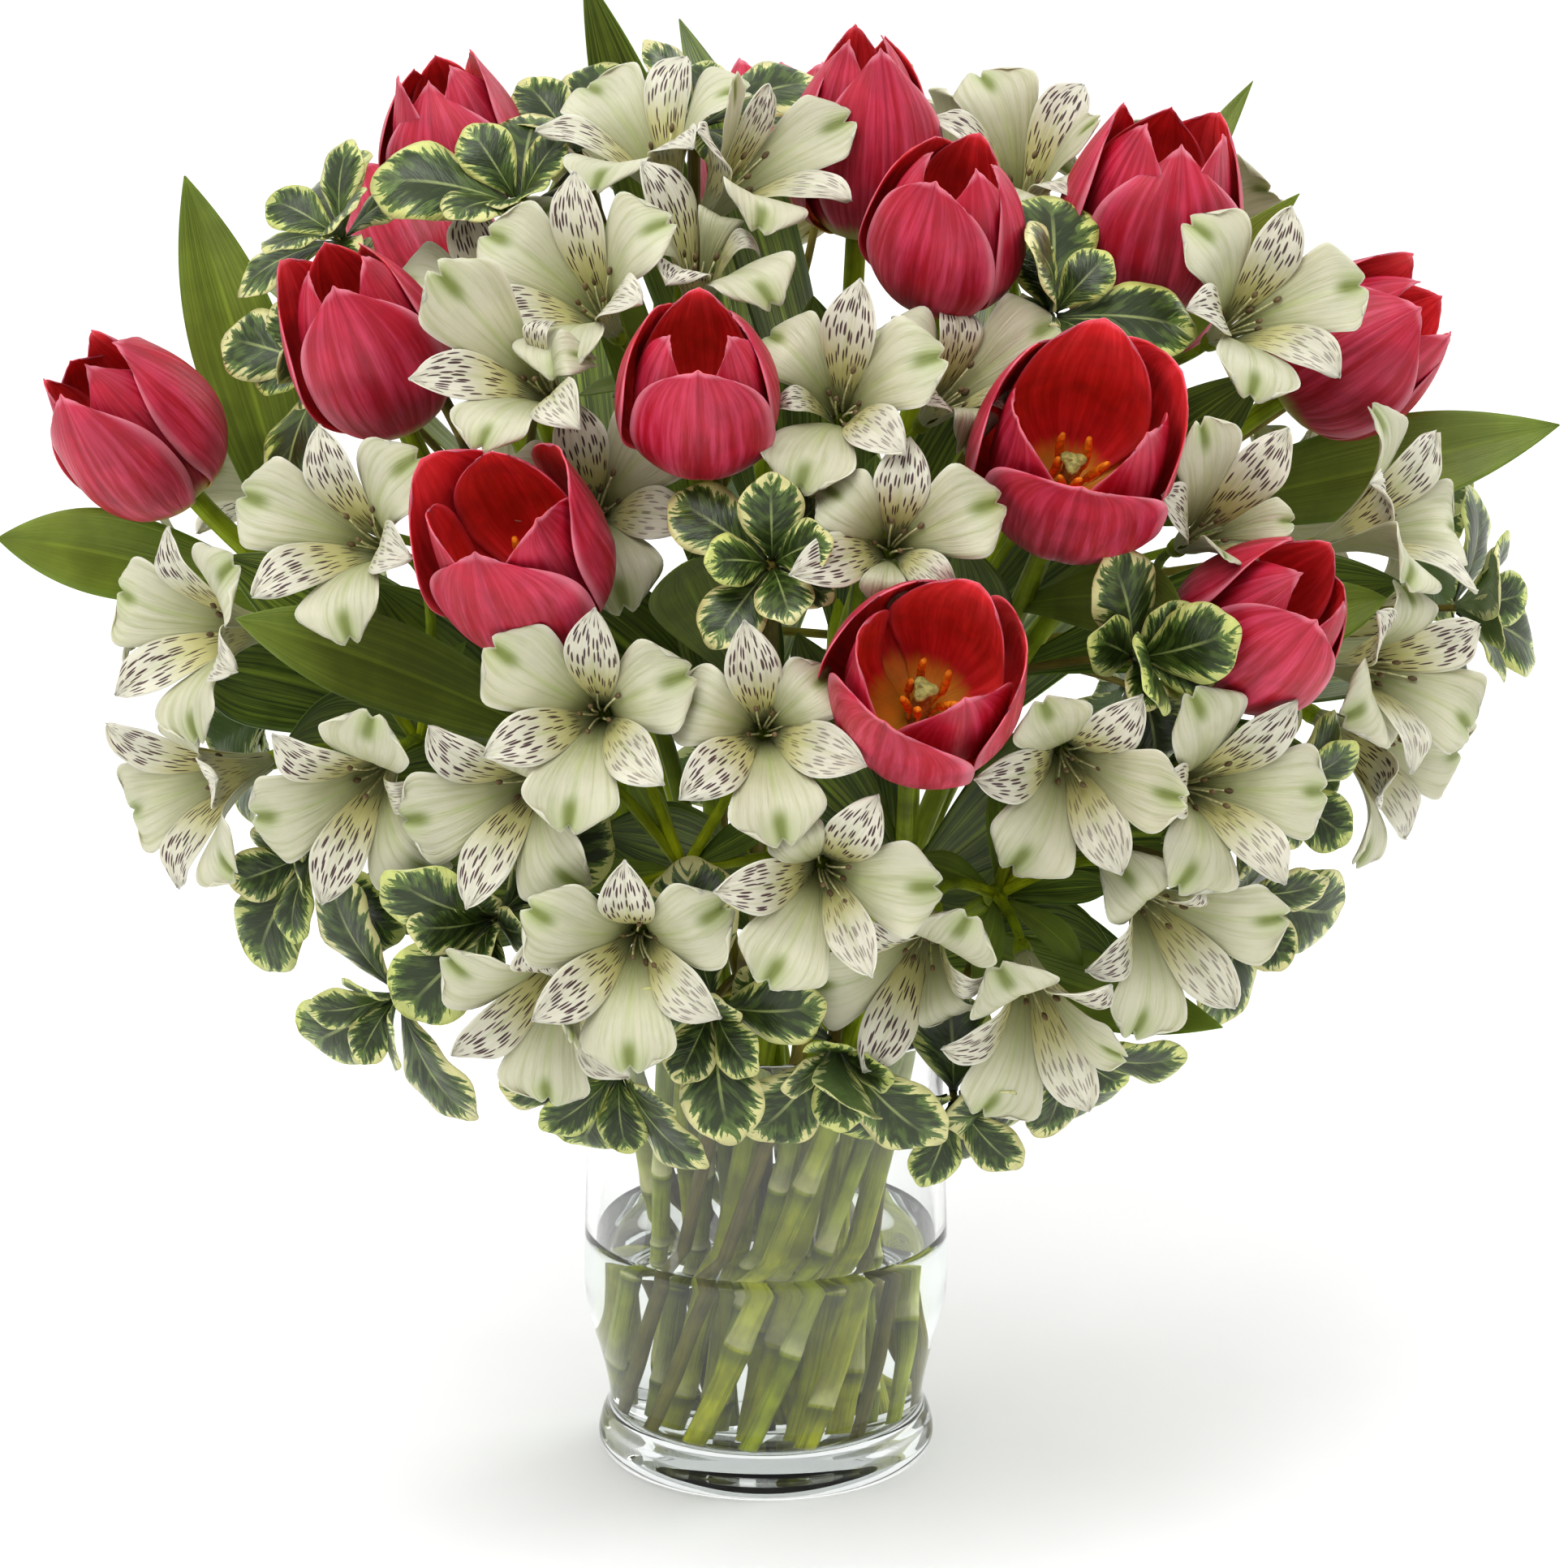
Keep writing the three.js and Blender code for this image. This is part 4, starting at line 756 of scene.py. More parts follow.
# %% [markdown]
# ## Finishes
#
# A living surface is never one colour. Fine veins run the length of petals, tepals and
# leaves, so one node group works them out for all of them from the marks `across`, `along`
# and `tone`: a noise that is stretched along the blade. Because the marks narrow with the
# blade, the veins run together at its root and its tip, as real ones do. A second group
# gives every skin its soft blotches.

# %% The two shared effects
NUMBER, COLOUR = "NodeSocketFloat", "NodeSocketColor"


def new_group(name, inputs, outputs):
    """An empty node group with named sockets; returns its recipe, its inputs and its end."""
    tree = bpy.data.node_groups.new(name, "ShaderNodeTree")
    for socket, kind, value in inputs:
        made = tree.interface.new_socket(socket, in_out="INPUT", socket_type=kind)
        made.default_value = value
    for socket, kind in outputs:
        tree.interface.new_socket(socket, in_out="OUTPUT", socket_type=kind)
    recipe = Recipe(tree)
    return recipe, recipe.node("NodeGroupInput").outputs, recipe.node("NodeGroupOutput").inputs


recipe, given, end = new_group(
    "lengthwise_veins",
    [("Across", NUMBER, 0.0), ("Along", NUMBER, 0.0), ("Tone", NUMBER, 0.0),
     ("Count", NUMBER, 10.0), ("Stretch", NUMBER, 1.6)],
    [("Streak", NUMBER), ("Fine", NUMBER)])
broad = recipe.spread(recipe.times(given["Across"], given["Count"]),
                      recipe.times(given["Along"], given["Stretch"]),
                      recipe.times(given["Tone"], 37.0))
recipe.feed(end["Streak"], recipe.noise(broad, 1.0, 4.0, 0.6))
recipe.feed(end["Fine"], recipe.noise(broad, 3.4, 2.0))
veins = recipe.tree

recipe, given, end = new_group(
    "skin_blotches",
    [("Color", COLOUR, (0.5, 0.5, 0.5, 1)), ("Amount", NUMBER, 0.2), ("Size", NUMBER, 90.0)],
    [("Color", COLOUR)])
blotch = recipe.noise(recipe.here(), given["Size"], 3.0)
darker, lighter = recipe.minus(1.0, given["Amount"]), recipe.plus(1.0, given["Amount"])
scaled = recipe.node("ShaderNodeVectorMath", {0: given["Color"]}, operation="SCALE")
recipe.feed(scaled.inputs["Scale"], recipe.ramp(blotch, 0.3, 0.7, darker, lighter))
recipe.feed(end["Color"], scaled.outputs[0])
blotches = recipe.tree
print("shared effects:", veins.name, "and", blotches.name)


# %% [markdown]
# Petals and leaves let some light through. The shader's subsurface weight with a depth of
# about a millimetre does that for a closed blade, and a low roughness leaves the satin gloss
# of a fresh petal.

# %% A living skin
SKIN_DEPTH = 0.0012  # how far light goes into a blade, in metres


class LivingSkin(Finish):
    """The finish of a thin living blade or stem: glow is the share of light that passes
    through its skin, and depth how far each colour goes, in parts of SKIN_DEPTH."""

    def __init__(self, name, glow, depth=(1.0, 0.35, 0.2), coat=0.0):
        super().__init__(name, {
            "Specular IOR Level": 0.4, "Subsurface Weight": glow, "Subsurface Radius": depth,
            "Subsurface Scale": SKIN_DEPTH, "Coat Weight": coat, "Coat Roughness": 0.3})

    def veined(self, count, stretch=1.6):
        """The marks across, along and tone, and the veins that follow from them: count is
        how fine they are across a blade, and stretch how much they change along it."""
        across, along, tone = (self.mark(name) for name in ("across", "along", "tone"))
        inputs = {"Across": across, "Along": along, "Tone": tone, "Count": count}
        return across, along, tone, self.group(veins, {**inputs, "Stretch": stretch})

    def paint(self, colour, uneven, size):
        """The colour with soft blotches, which change it by the part uneven either way."""
        tinted = self.group(blotches, {"Color": colour, "Amount": uneven, "Size": size})
        self.set({"Base Color": tinted["Color"]})

    def gloss(self, grain, smooth, rough):
        """The roughness goes from smooth to rough with the grain."""
        self.set({"Roughness": self.ramp(grain, 0.2, 0.8, smooth, rough)})


# %% Tulip petals
def tulip_petal_finish():
    """Crimson outside with rose streaks, whose pink also stands for a painted sheen, pale edges,
    partly a lighter margin and partly a painted highlight, and a crease darkened with painted
    shade; bright red inside, and yellow-green or golden at the root."""
    petal = LivingSkin("tulip_petal", glow=0.25)
    across, along, _, lines = petal.veined(9.0)
    side = petal.math("ABSOLUTE", across)
    # the rose streaks follow the veins, and their pink is also a painted sheen
    rose = petal.ramp(lines["Streak"], 0.36, 0.70)
    fine = petal.ramp(lines["Fine"], 0.45, 0.75, 0.0, 0.35)
    tip = petal.ramp(along, 0.55, 1.0, 0.0, 0.35)
    # pale edges: partly a lighter margin, partly a painted highlight along the rim
    edge = petal.math("MAXIMUM", petal.ramp(side, 0.84, 1.0), petal.ramp(along, 0.955, 1.0))
    # the dark crease is painted shade in the groove down the middle of the petal
    crease = petal.ramp(side, 0.07, 0.0, 0.0, 0.45)
    root = petal.plus(along, petal.times(lines["Streak"], 0.10))
    outside = petal.coats(
        (0.36, 0.008, 0.025), (rose, (0.55, 0.058, 0.12)), (fine, (0.30, 0.006, 0.016)),
        (tip, (0.52, 0.02, 0.06)), (petal.times(edge, 0.75), (0.68, 0.24, 0.31)),
        (crease, (0.26, 0.006, 0.018)), (petal.ramp(root, 0.24, 0.10), (0.46, 0.42, 0.13)))
    inside = petal.coats(
        (0.63, 0.032, 0.037), (rose, (0.82, 0.065, 0.080)),
        (petal.times(edge, 0.5), (0.76, 0.13, 0.18)),
        (petal.ramp(root, 0.20, 0.10), (0.76, 0.46, 0.05)))
    petal.paint(petal.mix(petal.mark("upper"), outside, inside), 0.14, 110.0)
    petal.gloss(lines["Fine"], 0.34, 0.5)
    petal.relief(lines["Streak"], 0.00045)
    return petal.material


def tulip_pistil_finish():
    """A pale green pistil and golden anthers, told apart by `kind`."""
    pistil = LivingSkin("tulip_pistil", glow=0.2)
    anther = pistil.ramp(pistil.mark("along"), 0.35, 0.6)
    gold = pistil.mix(anther, (0.78, 0.42, 0.03), (0.85, 0.30, 0.015))
    pistil.paint(pistil.mix(pistil.mark("kind"), (0.42, 0.48, 0.16), gold), 0.3, 900.0)
    pistil.set({"Roughness": 0.55})
    pistil.relief(pistil.noise(pistil.here(), 2500.0), 0.0002)
    return pistil.material


tulip_petal, tulip_pistil = tulip_petal_finish(), tulip_pistil_finish()


# %% Alstroemeria tepals
def tepal_finish():
    """Cream with green veins and a green rib, greener towards the throat, partly with painted
    shade there. The outer tepals are a darker, greener cream than the inner ones: painted shade
    over a greener tint of their own. A pale rim is a painted highlight. The outer tepals have a
    dark green mark in a paler halo at the notch. The inner ones, whose kind is above 0, have a
    yellow throat and rows of maroon dashes: stretched cells of which only the cores are painted."""
    tepal = LivingSkin("alstroemeria_tepal", glow=0.3, depth=(1.0, 0.9, 0.6))
    across, along, tone, lines = tepal.veined(8.0)
    side = tepal.math("ABSOLUTE", across)
    kind = tepal.mark("kind")
    inner = tepal.math("GREATER_THAN", kind, 0.1)
    outer = tepal.minus(1.0, inner)

    # the outer tepals get the darker, greener cream and veins: painted shade over their own
    # greener tint
    cream = tepal.mix(inner, (0.54, 0.53, 0.40), (0.64, 0.62, 0.52))
    vein = tepal.ramp(lines["Streak"], 0.42, 0.72, 0.0, 0.5)
    green = tepal.mix(inner, (0.31, 0.34, 0.15), (0.42, 0.42, 0.27))
    # greener towards the throat: partly the tepal's green base, partly painted shade in the funnel
    low = tepal.ramp(along, 0.75, 0.12, 0.0, 0.7)
    rib = tepal.times(tepal.ramp(side, 0.16, 0.0), tepal.ramp(along, 0.95, 0.3), 0.5)
    halo = tepal.times(tepal.ramp(along, 0.66, 0.96), tepal.ramp(side, 0.6, 0.1), outer, 0.6)
    keel = tepal.times(tepal.ramp(along, 0.70, 0.86), tepal.ramp(side, 0.24, 0.04), outer, 0.85)
    throat = tepal.times(tepal.ramp(along, 0.16, 0.3), tepal.ramp(along, 0.6, 0.34), inner, 0.4)

    wander = tepal.times(tepal.minus(lines["Streak"], 0.5), 0.8)
    rows = tepal.plus(tepal.times(across, 7.0), tepal.plus(wander, tepal.times(tone, 290.0)))
    inputs = {"Vector": tepal.spread(rows, tepal.times(along, 5.6)), "Scale": 1.0,
              "Randomness": 0.7}
    cells = tepal.node("ShaderNodeTexVoronoi", inputs, voronoi_dimensions="2D").outputs
    size = tepal.ramp(along, 0.25, 0.9, 0.22, 0.29)
    field = tepal.times(tepal.ramp(along, 0.16, 0.26), tepal.ramp(along, 0.96, 0.86),
                        tepal.ramp(side, 0.97, 0.84), kind)
    core = tepal.ramp(tepal.minus(cells["Distance"], size), 0.05, -0.05)
    dash = tepal.times(core, field, 0.94)
    # a pale rim along the edges and the tip: painted highlight
    rim = tepal.math("MAXIMUM", tepal.ramp(side, 0.9, 1.0), tepal.ramp(along, 0.97, 1.0))

    colour = tepal.coats(
        cream, (vein, green), (low, (0.33, 0.36, 0.13)), (rib, (0.40, 0.47, 0.18)),
        (halo, (0.33, 0.40, 0.14)), (keel, (0.16, 0.20, 0.035)), (throat, (0.70, 0.62, 0.20)),
        (dash, (0.050, 0.010, 0.018)), (tepal.times(rim, 0.4), (0.76, 0.75, 0.66)))
    tepal.paint(colour, 0.07, 70.0)
    tepal.gloss(lines["Fine"], 0.42, 0.56)
    tepal.relief(lines["Streak"], 0.0005)
    return tepal.material


def stamen_finish():
    """Pale filaments with dull maroon anthers."""
    stamen = LivingSkin("alstroemeria_stamen", glow=0.1)
    colour = stamen.mix(stamen.mark("kind"), (0.62, 0.60, 0.36), (0.16, 0.11, 0.06))
    stamen.paint(colour, 0.25, 700.0)
    stamen.set({"Roughness": 0.6})
    stamen.relief(stamen.noise(stamen.here(), 3000.0), 0.0001)
    return stamen.material


alstroemeria_tepal, alstroemeria_stamen = tepal_finish(), stamen_finish()


# %% Stems and long leaves
def stem_finish(name, foot, body, joint, roughness):
    """A stem: pale at its foot, its own green above, lengthwise fibres, and a paler band
    above each joint, where `upper` marks it, partly a paler rind and partly a painted highlight
    on the swelling, over a darker band of painted shade below the swelling."""
    rind = LivingSkin(name, glow=0.1, depth=(0.8, 1.0, 0.3))
    _, along, tone, lines = rind.veined(3.0, stretch=6.4)
    ring = rind.mark("upper")
    dark = tuple(0.3 * part for part in body)
    colour = rind.coats(
        foot, (rind.ramp(along, 0.02, 0.6), body),
        (rind.ramp(lines["Streak"], 0.42, 0.72, 0.0, 0.65), dark),
        (rind.ramp(tone, 0.3, 1.0, 0.0, 0.5), dark),
        # below a joint painted shade under its swelling, above it a paler band that is partly a
        # painted highlight
        (rind.ramp(ring, 0.0, -0.8, 0.0, 0.7), dark), (rind.ramp(ring, 0.0, 0.9, 0.0, 0.9), joint))
    rind.paint(colour, 0.22, 130.0)
    rind.set({"Roughness": roughness, "Specular IOR Level": 0.2})
    rind.relief(lines["Fine"], 0.0003)
    return rind.material


def long_leaf_finish(name, dark, light, under):
    """A lance-shaped leaf: a pale rib, parallel veins, lighter all over the higher its tone
    is, and a duller underside."""
    leaf = LivingSkin(name, glow=0.15, depth=(0.6, 1.0, 0.2), coat=0.15)
    across, along, tone, lines = leaf.veined(16.0)
    side = leaf.math("ABSOLUTE", across)
    rib = leaf.times(leaf.ramp(side, 0.07, 0.02), leaf.ramp(along, 1.0, 0.6), 0.7)
    upper = leaf.coats(
        dark, (leaf.ramp(lines["Streak"], 0.35, 0.7), light),
        (leaf.ramp(tone, 0.3, 1.0, 0.0, 0.85), light), (rib, tuple(1.5 * part for part in light)))
    leaf.paint(leaf.mix(leaf.mark("upper"), under, upper), 0.18, 60.0)
    leaf.gloss(lines["Fine"], 0.3, 0.46)
    leaf.relief(lines["Streak"], 0.0004)
    return leaf.material


tulip_green = stem_finish("tulip_stem_skin", foot=(0.62, 0.64, 0.02), body=(0.31, 0.39, 0.015),
                          joint=(0.78, 0.78, 0.34), roughness=0.42)
alstroemeria_green = stem_finish("alstroemeria_stem_skin", foot=(0.50, 0.57, 0.015),
                                 body=(0.25, 0.34, 0.010), joint=(0.80, 0.80, 0.40), roughness=0.4)
pittosporum_bark = stem_finish("pittosporum_bark", foot=(0.28, 0.26, 0.03),
                               body=(0.20, 0.165, 0.03), joint=(0.42, 0.32, 0.12), roughness=0.55)
tulip_leaf = long_leaf_finish("tulip_leaf", dark=(0.050, 0.082, 0.012), light=(0.22, 0.29, 0.04),
                              under=(0.12, 0.18, 0.05))
alstroemeria_leaf = long_leaf_finish("alstroemeria_leaf", dark=(0.060, 0.110, 0.011),
                                     light=(0.24, 0.32, 0.04), under=(0.16, 0.24, 0.05))


# %% Variegated pittosporum
def pittosporum_finish():
    """Dark green with a ragged cream margin. The mark `kind` is 0 at the edge of the leaf
    and 1 at its middle; side veins, a noise stretched from the rib to the edge, push the
    margin in and out like a comb."""
    leaf = LivingSkin("pittosporum_leaf", glow=0.12, depth=(0.6, 1.0, 0.3), coat=0.2)
    across, along, tone, inward = (leaf.mark(name) for name in ("across", "along", "tone", "kind"))
    side = leaf.math("ABSOLUTE", across)
    slanted = leaf.minus(leaf.times(along, 15.0), leaf.times(side, 5.0))
    teeth = leaf.spread(slanted, leaf.times(across, 1.4), leaf.times(tone, 31.0))
    comb = leaf.noise(teeth, 1.0, 3.0, 0.65)
    reach = leaf.plus(inward, leaf.ramp(comb, 0.28, 0.72, -0.22, 0.24))
    margin = leaf.ramp(reach, 0.23, 0.18)
    cream = leaf.mix(leaf.ramp(tone, 0.2, 0.9), (0.60, 0.57, 0.27), (0.50, 0.54, 0.17))
    patch = leaf.noise(leaf.spread(slanted, leaf.times(across, 3.0), tone), 0.7)
    halo = leaf.ramp(reach, 0.42, 0.28, 0.0, 0.7)
    rib = leaf.times(leaf.ramp(side, 0.06, 0.02), leaf.ramp(along, 0.9, 0.5), 0.7)
    upper = leaf.coats(
        (0.024, 0.041, 0.007), (leaf.ramp(patch, 0.45, 0.6), (0.07, 0.11, 0.020)),
        (halo, (0.14, 0.22, 0.05)), (margin, cream), (rib, (0.36, 0.42, 0.16)))
    under = leaf.mix(margin, (0.13, 0.19, 0.07), (0.52, 0.54, 0.26))
    leaf.paint(leaf.mix(leaf.mark("upper"), under, upper), 0.15, 160.0)
    leaf.gloss(comb, 0.26, 0.42)
    leaf.relief(comb, 0.0005)
    return leaf.material


pittosporum_leaf = pittosporum_finish()
print(len(bpy.data.materials), "finishes so far")

# %% [markdown]
# ## Tulips
#
# A tulip has three petals outside and three inside, all from one small seat. Seen from above
# each petal is an arc round the flower's axis; seen from the side it swells to a belly below
# its middle and closes again, more or less, towards its tip. So a petal is a surface in polar
# coordinates: the height follows v, the angle follows u, and the radius follows both.

# %% The shape of a petal
PETAL_ROOT = 2.4  # radius of the ring on which the petals stand
BELLY = 0.45  # where along a petal its bloom is widest
WRAP = 58 * DEGREE  # half of what a petal takes in round the axis
INNER_LAYER = 0.82  # size of the inner layer, as a part of the outer one
PETAL_THICK = 0.9
OPEN_ENOUGH = 0.4  # from here on one looks into a bloom


def petal_width(v):
    """Half width of a petal at v as a part of its widest: a broad root that widens in a
    quarter sine, and a rounded top."""
    rise = 0.8 + 0.2 * ease(v, 0.1, 0.5)
    return rise * np.sqrt(1 - (np.maximum(v - 0.55, 0) / 0.48) ** 2.6)


def petals_of(bloom):
    """Six petals, the odd ones inside, each with a sway of its own."""
    for k in range(6):
        inside = k % 2
        sway = np.sin(2.3 * k + bloom["turn"])
        yield {"angle": k * 60 * DEGREE, "inside": inside, "sway": sway,
               "layer": INNER_LAYER if inside else 1.0,
               "flare": 0.09 * sway + (0 if inside else 0.05),
               "long": 1.0 if inside else 0.97 + 0.03 * sway}


def petal_surface(bloom, petal, u, v):
    """radius = quarter ellipse up to the belly, then a parabola to the tip; angle = the
    petal's own plus u times its width; height = v to the 1.1, with rounded corners, a
    pointed tip, a crease down the middle and edges that wave a little."""
    full = bloom["wide"] / 2 * petal["layer"]
    tip = 0.2 + 0.86 * bloom["open"] + petal["flare"]
    side = np.abs(u)
    a = u * petal_width(v)
    t = v * (1 - 0.075 * side**2.4) + 0.02 * ridge(u, 0.14) * v**9
    low = np.sqrt(1 - (1 - np.minimum(t, BELLY) / BELLY) ** 2)
    high = 1 + (tip - 1) * ((t - BELLY) / (1 - BELLY)) ** 2
    part = np.where(t < BELLY, low, high)
    radius = (PETAL_ROOT + (full - PETAL_ROOT) * part) * (1 + 0.05 * a)
    wave = np.sin(9 * v + 5 * petal["sway"]) * side**3 * v
    radius += 0.5 * wave - 0.55 * ridge(u, 0.09) * np.sin(np.pi * v)
    radius += (0 if petal["inside"] else 1.0) * side**5 * np.sin(np.pi * v) * (0.6 + 0.8 * v)
    radius += (0.6 + 1.5 * petal["sway"]) * v**12 * (1 - side**2)
    height = bloom["high"] * petal["long"] * np.maximum(t, 0) ** 1.1 + 0.5 * wave
    return ray(petal["angle"] + WRAP * a, radius, 0, height)


def stamens_and_pistil(bloom):
    """Six golden stamens round a pale pistil with a three-lobed top; both are about two
    fifths as tall as the bloom."""
    tall = 0.40 * bloom["high"]
    profile = [[0.3, 0.8], [2.1, 1.0], [2.4, 4], [2.0, 0.45 * tall], [1.8, 0.8 * tall],
               [2.1, 0.9 * tall], [3.0, 0.96 * tall], [2.6, tall], [0.4, tall + 0.4]]
    shapes = [lathe(profile, 18, finish=1, lobes=0.25)]
    t = np.linspace(0, 1, 16)
    for k in range(6):
        angle = (k + 0.5) * 60 * DEGREE + 0.25 * np.sin(3 * k + bloom["turn"])
        out = 2.8 + (3.4 + 1.2 * np.sin(5 * k + 1)) * t**1.3
        high = 1.5 + (0.98 + 0.1 * np.sin(2 * k)) * tall * t
        lean = 0.9 * np.sin(4 * t + 2 * k) * t
        path = ray(angle, out, 0, high) + np.outer(lean, [1, -1, 0])
        radius = 0.42 + 0.62 * swell(t, 0.46, 0.54) * (1 - 0.7 * swell(t, 0.9, 1.0))
        shapes.append(stem(path, radius, 8, kind=1.0, finish=1))
    return shapes


# %% Grow the tulip blooms
TULIP_BASE = [[0.5, -0.2], [2.6, 0.1], [3.1, 0.9], [0.6, 1.6]]  # each radius and height
tones = np.random.default_rng(11)
u, v = across_and_along(34, 25)
triangles = 0
for bloom in tulips:
    shapes = [blade(petal_surface(bloom, petal, u, v), PETAL_THICK, u, v, tones.random())
              for petal in petals_of(bloom)]
    shapes.append(lathe(TULIP_BASE, 18, finish=1))
    if bloom["open"] > OPEN_ENOUGH:
        shapes += stamens_and_pistil(bloom)
    name, node = f"tulip_{bloom['number']}_petals", f"tulip_bloom_{bloom['number']}"
    triangles += grow(name, node, placed(shapes, bloom),
                      [tulip_petal, tulip_pistil])
print("tulip blooms:", triangles, "triangles")


# %% [markdown]
# ## Long leaves and the stems that carry them
#
# A long leaf arches from its stem to its tip along a quadratic Bezier curve, is folded along
# its rib like a shallow V, waves at its edges and turns a little about its own length. The
# solid's leaf was bent, swung or shortened to lie clear of its neighbours, so the fine one
# tries the same bends and keeps the one that lies on its solid.

# %% The shape of a long leaf
FRONT = unit((0, -1, 0.35))
BEHIND = 40  # leaves with their tips before this y turn to the camera
LEAF_THICK = 0.7
LEAF_FOLD = 0.12  # how far its edges stand above its rib, as a part of its width
LEAF_BENDS = [(part, swing, bend) for part in (1, 0.88, 0.75) for swing in (0, 8, -8, 16, -16)
              for bend in (0, 7, -7, 14, -14, 22)]


def leaf_frame(root, row, bend):
    """The arch of the leaf as three Bezier points, the direction across it and where its
    upper side looks: to the camera if its tip stands before BEHIND, else away from the neck."""
    _, x, y, z, _, arch = row
    part, swing, more = bend
    tip = root + (np.array([x, y, z]) - root) * part
    middle = (root + tip) / 2
    outwards = unit(middle - NECK)
    tip = tip + swing * unit(np.cross(tip - root, outwards))
    facing = FRONT if y < BEHIND else outwards
    side = unit(np.cross(tip - root, facing))
    return (root, middle + (arch + more) * outwards, tip), side, facing


def leaf_points(arch, side, facing, wide, t, way, part):
    """Points of the leaf: along the arch at t, way times half its width to the side, and
    raised by the fold."""
    t = np.asarray(t, float)[..., None]
    shift = (way * part * wide / 2)[..., None] * side
    fold = (np.abs(way) * part * LEAF_FOLD * wide)[..., None] * facing
    return bezier(t, *arch) + shift + fold


def leaf_outline(root, row):
    """The corners of the plain leaf for one bend, to hold against its solid."""
    t = np.array([0.35, 0.35, 0.35, 0.68, 0.68, 0.68, 1.0])
    way = np.array([-1.0, 0, 1, -1, 0, 1, 0])
    part = np.array([0.8, 0.8, 0.8, 1, 1, 1, 1])
    return lambda bend: leaf_points(*leaf_frame(root, row, bend), row[4], t, way, part)


def leaf_width(t):
    """Half width along a lance-shaped leaf as a part of its widest."""
    rise = 0.16 + 0.84 * ease(t, 0, 0.6) ** 1.2
    return rise * (1 - 0.985 * swell(t, 0.6, 1.0) ** 1.9)


def long_leaf(root, row, bend, tone):
    """The fine leaf: the width follows leaf_width, the edges wave, and the blade rolls a
    little to one side."""
    wide = row[4]
    u, t = across_and_along(46, 13)
    line, side, facing = leaf_frame(root, row, bend)
    middle = leaf_points(line, side, facing, wide, t, u, leaf_width(t))
    phase = 40 * tone
    wave = np.sin(11 * t + phase) * np.abs(u) ** 2 * leaf_width(t) * 0.05 * wide
    roll = 0.10 * wide * np.sin(np.pi * t) * np.sin(phase) * u
    middle = middle + (wave + roll)[..., None] * facing
    return blade(middle[:, ::-1], LEAF_THICK, u, t, tone, finish=1)


# %% Stems with joints
JOINT = 0.0035  # half the height of a joint, in the stem's t
JOINT_SWELL = 0.17  # how much thicker a stem is at a joint
STEM_TAPER = 0.12  # how much thinner it is at its flower than at its foot
OFF_SOLID = 2  # a leaf that lies farther off its solid than this is reported


def stem_with_joints(one, tone, joints, sides=14, finish=0):
    """A stem tube that swells at each joint, and the mark of those joints: 1 just above a
    joint and fading upwards, -1 just below it and fading downwards."""
    t = np.concatenate([np.linspace(0, IN_VASE, 61)[:-1], np.linspace(IN_VASE, 1, 61)])
    ring, bulge = np.zeros(len(t)), np.zeros(len(t))
    for joint in joints:
        off = (t - joint) / JOINT
        bulge = np.maximum(bulge, np.exp(-np.maximum(off, -1.2 * off) ** 1.2 / 2.5))
        band = np.where(off > 0, np.exp(-off / 4), -np.exp(off / 2))
        ring = np.where(np.abs(band) > np.abs(ring), band, ring)
    radius = one["radius"] * (1 + JOINT_SWELL * bulge) * (1 - STEM_TAPER * t)
    return stem(stem_point(one, t), radius, sides, tone, ring, finish=finish)


def leaves_on(node, tones):
    """The long leaves that grow on a stem, each in the bend of its solid. The higher up its
    stem a leaf grows, the lighter it is."""
    corners = solid_points(node)
    for row in LONG_LEAVES.get(node, ()):
        root = stem_point(stems[node], above_neck(row[0]))[0]
        bend, gap = closest(LEAF_BENDS, leaf_outline(root, row), corners)
        if gap > OFF_SOLID:
            print(node, "leaf lies", round(gap, 1), "mm off its solid")
        height_tone = 0.3 * tones.random() + 0.7 * swell(row[0], 0.45, 0.7)
        yield long_leaf(root, row, bend, height_tone)


# %% Grow the tulip and alstroemeria stems
def grow_stem(name, node, joints, finishes):
    """A stem with its long leaves."""
    shapes = [stem_with_joints(stems[node], tones.random(), joints), *leaves_on(node, tones)]
    return grow(name, node, shapes, finishes)


tones = np.random.default_rng(12)
triangles = 0
for bloom in tulips:
    number = bloom["number"]
    joints = [0.02 + 0.06 * tones.random(), 0.11 + 0.07 * tones.random()]
    triangles += grow_stem(f"tulip_{number}_stem", f"tulip_stem_{number}",
                           joints, [tulip_green, tulip_leaf])
for name in sprays:
    joints = np.array([0.02, 0.07, 0.13, 0.3, 0.5]) + 0.04 * tones.random()
    triangles += grow_stem(f"alstroemeria_{name}_stem", f"alstroemeria_stem_{name}",
                           joints, [alstroemeria_green, alstroemeria_leaf])
print("stems and long leaves:", triangles, "triangles")


# %% [markdown]
# ## Alstroemerias
#
# An alstroemeria bloom is a funnel of six tepals on a small green ovary. The three outer ones
# are broad, with a notched tip; the three inner ones are narrow and pointed, and two of them
# carry most of the dashes. A tepal runs out of the throat and up, and bends over at its tip.
# Stalks lead from every bloom of a spray back to one fork, where five small leaves, the
# bracts, stand between them.

# %% The shape of a tepal
THROAT = 3.2  # radius of the throat, where the claws end
THROAT_HIGH = 7
CLAW_ROOT, CLAW_FOOT = 1.9, 2.6  # radius and height at which a claw leaves the ovary
CLAW = 0.12  # the part of v that is claw
TEPAL_THICK = 0.7
TEPAL_BENDS = [(part, bend) for part in (1, 0.87, 0.75, 0.62, 0.5)
               for bend in (0, 4, -4, 8, -8, 13, -12)]


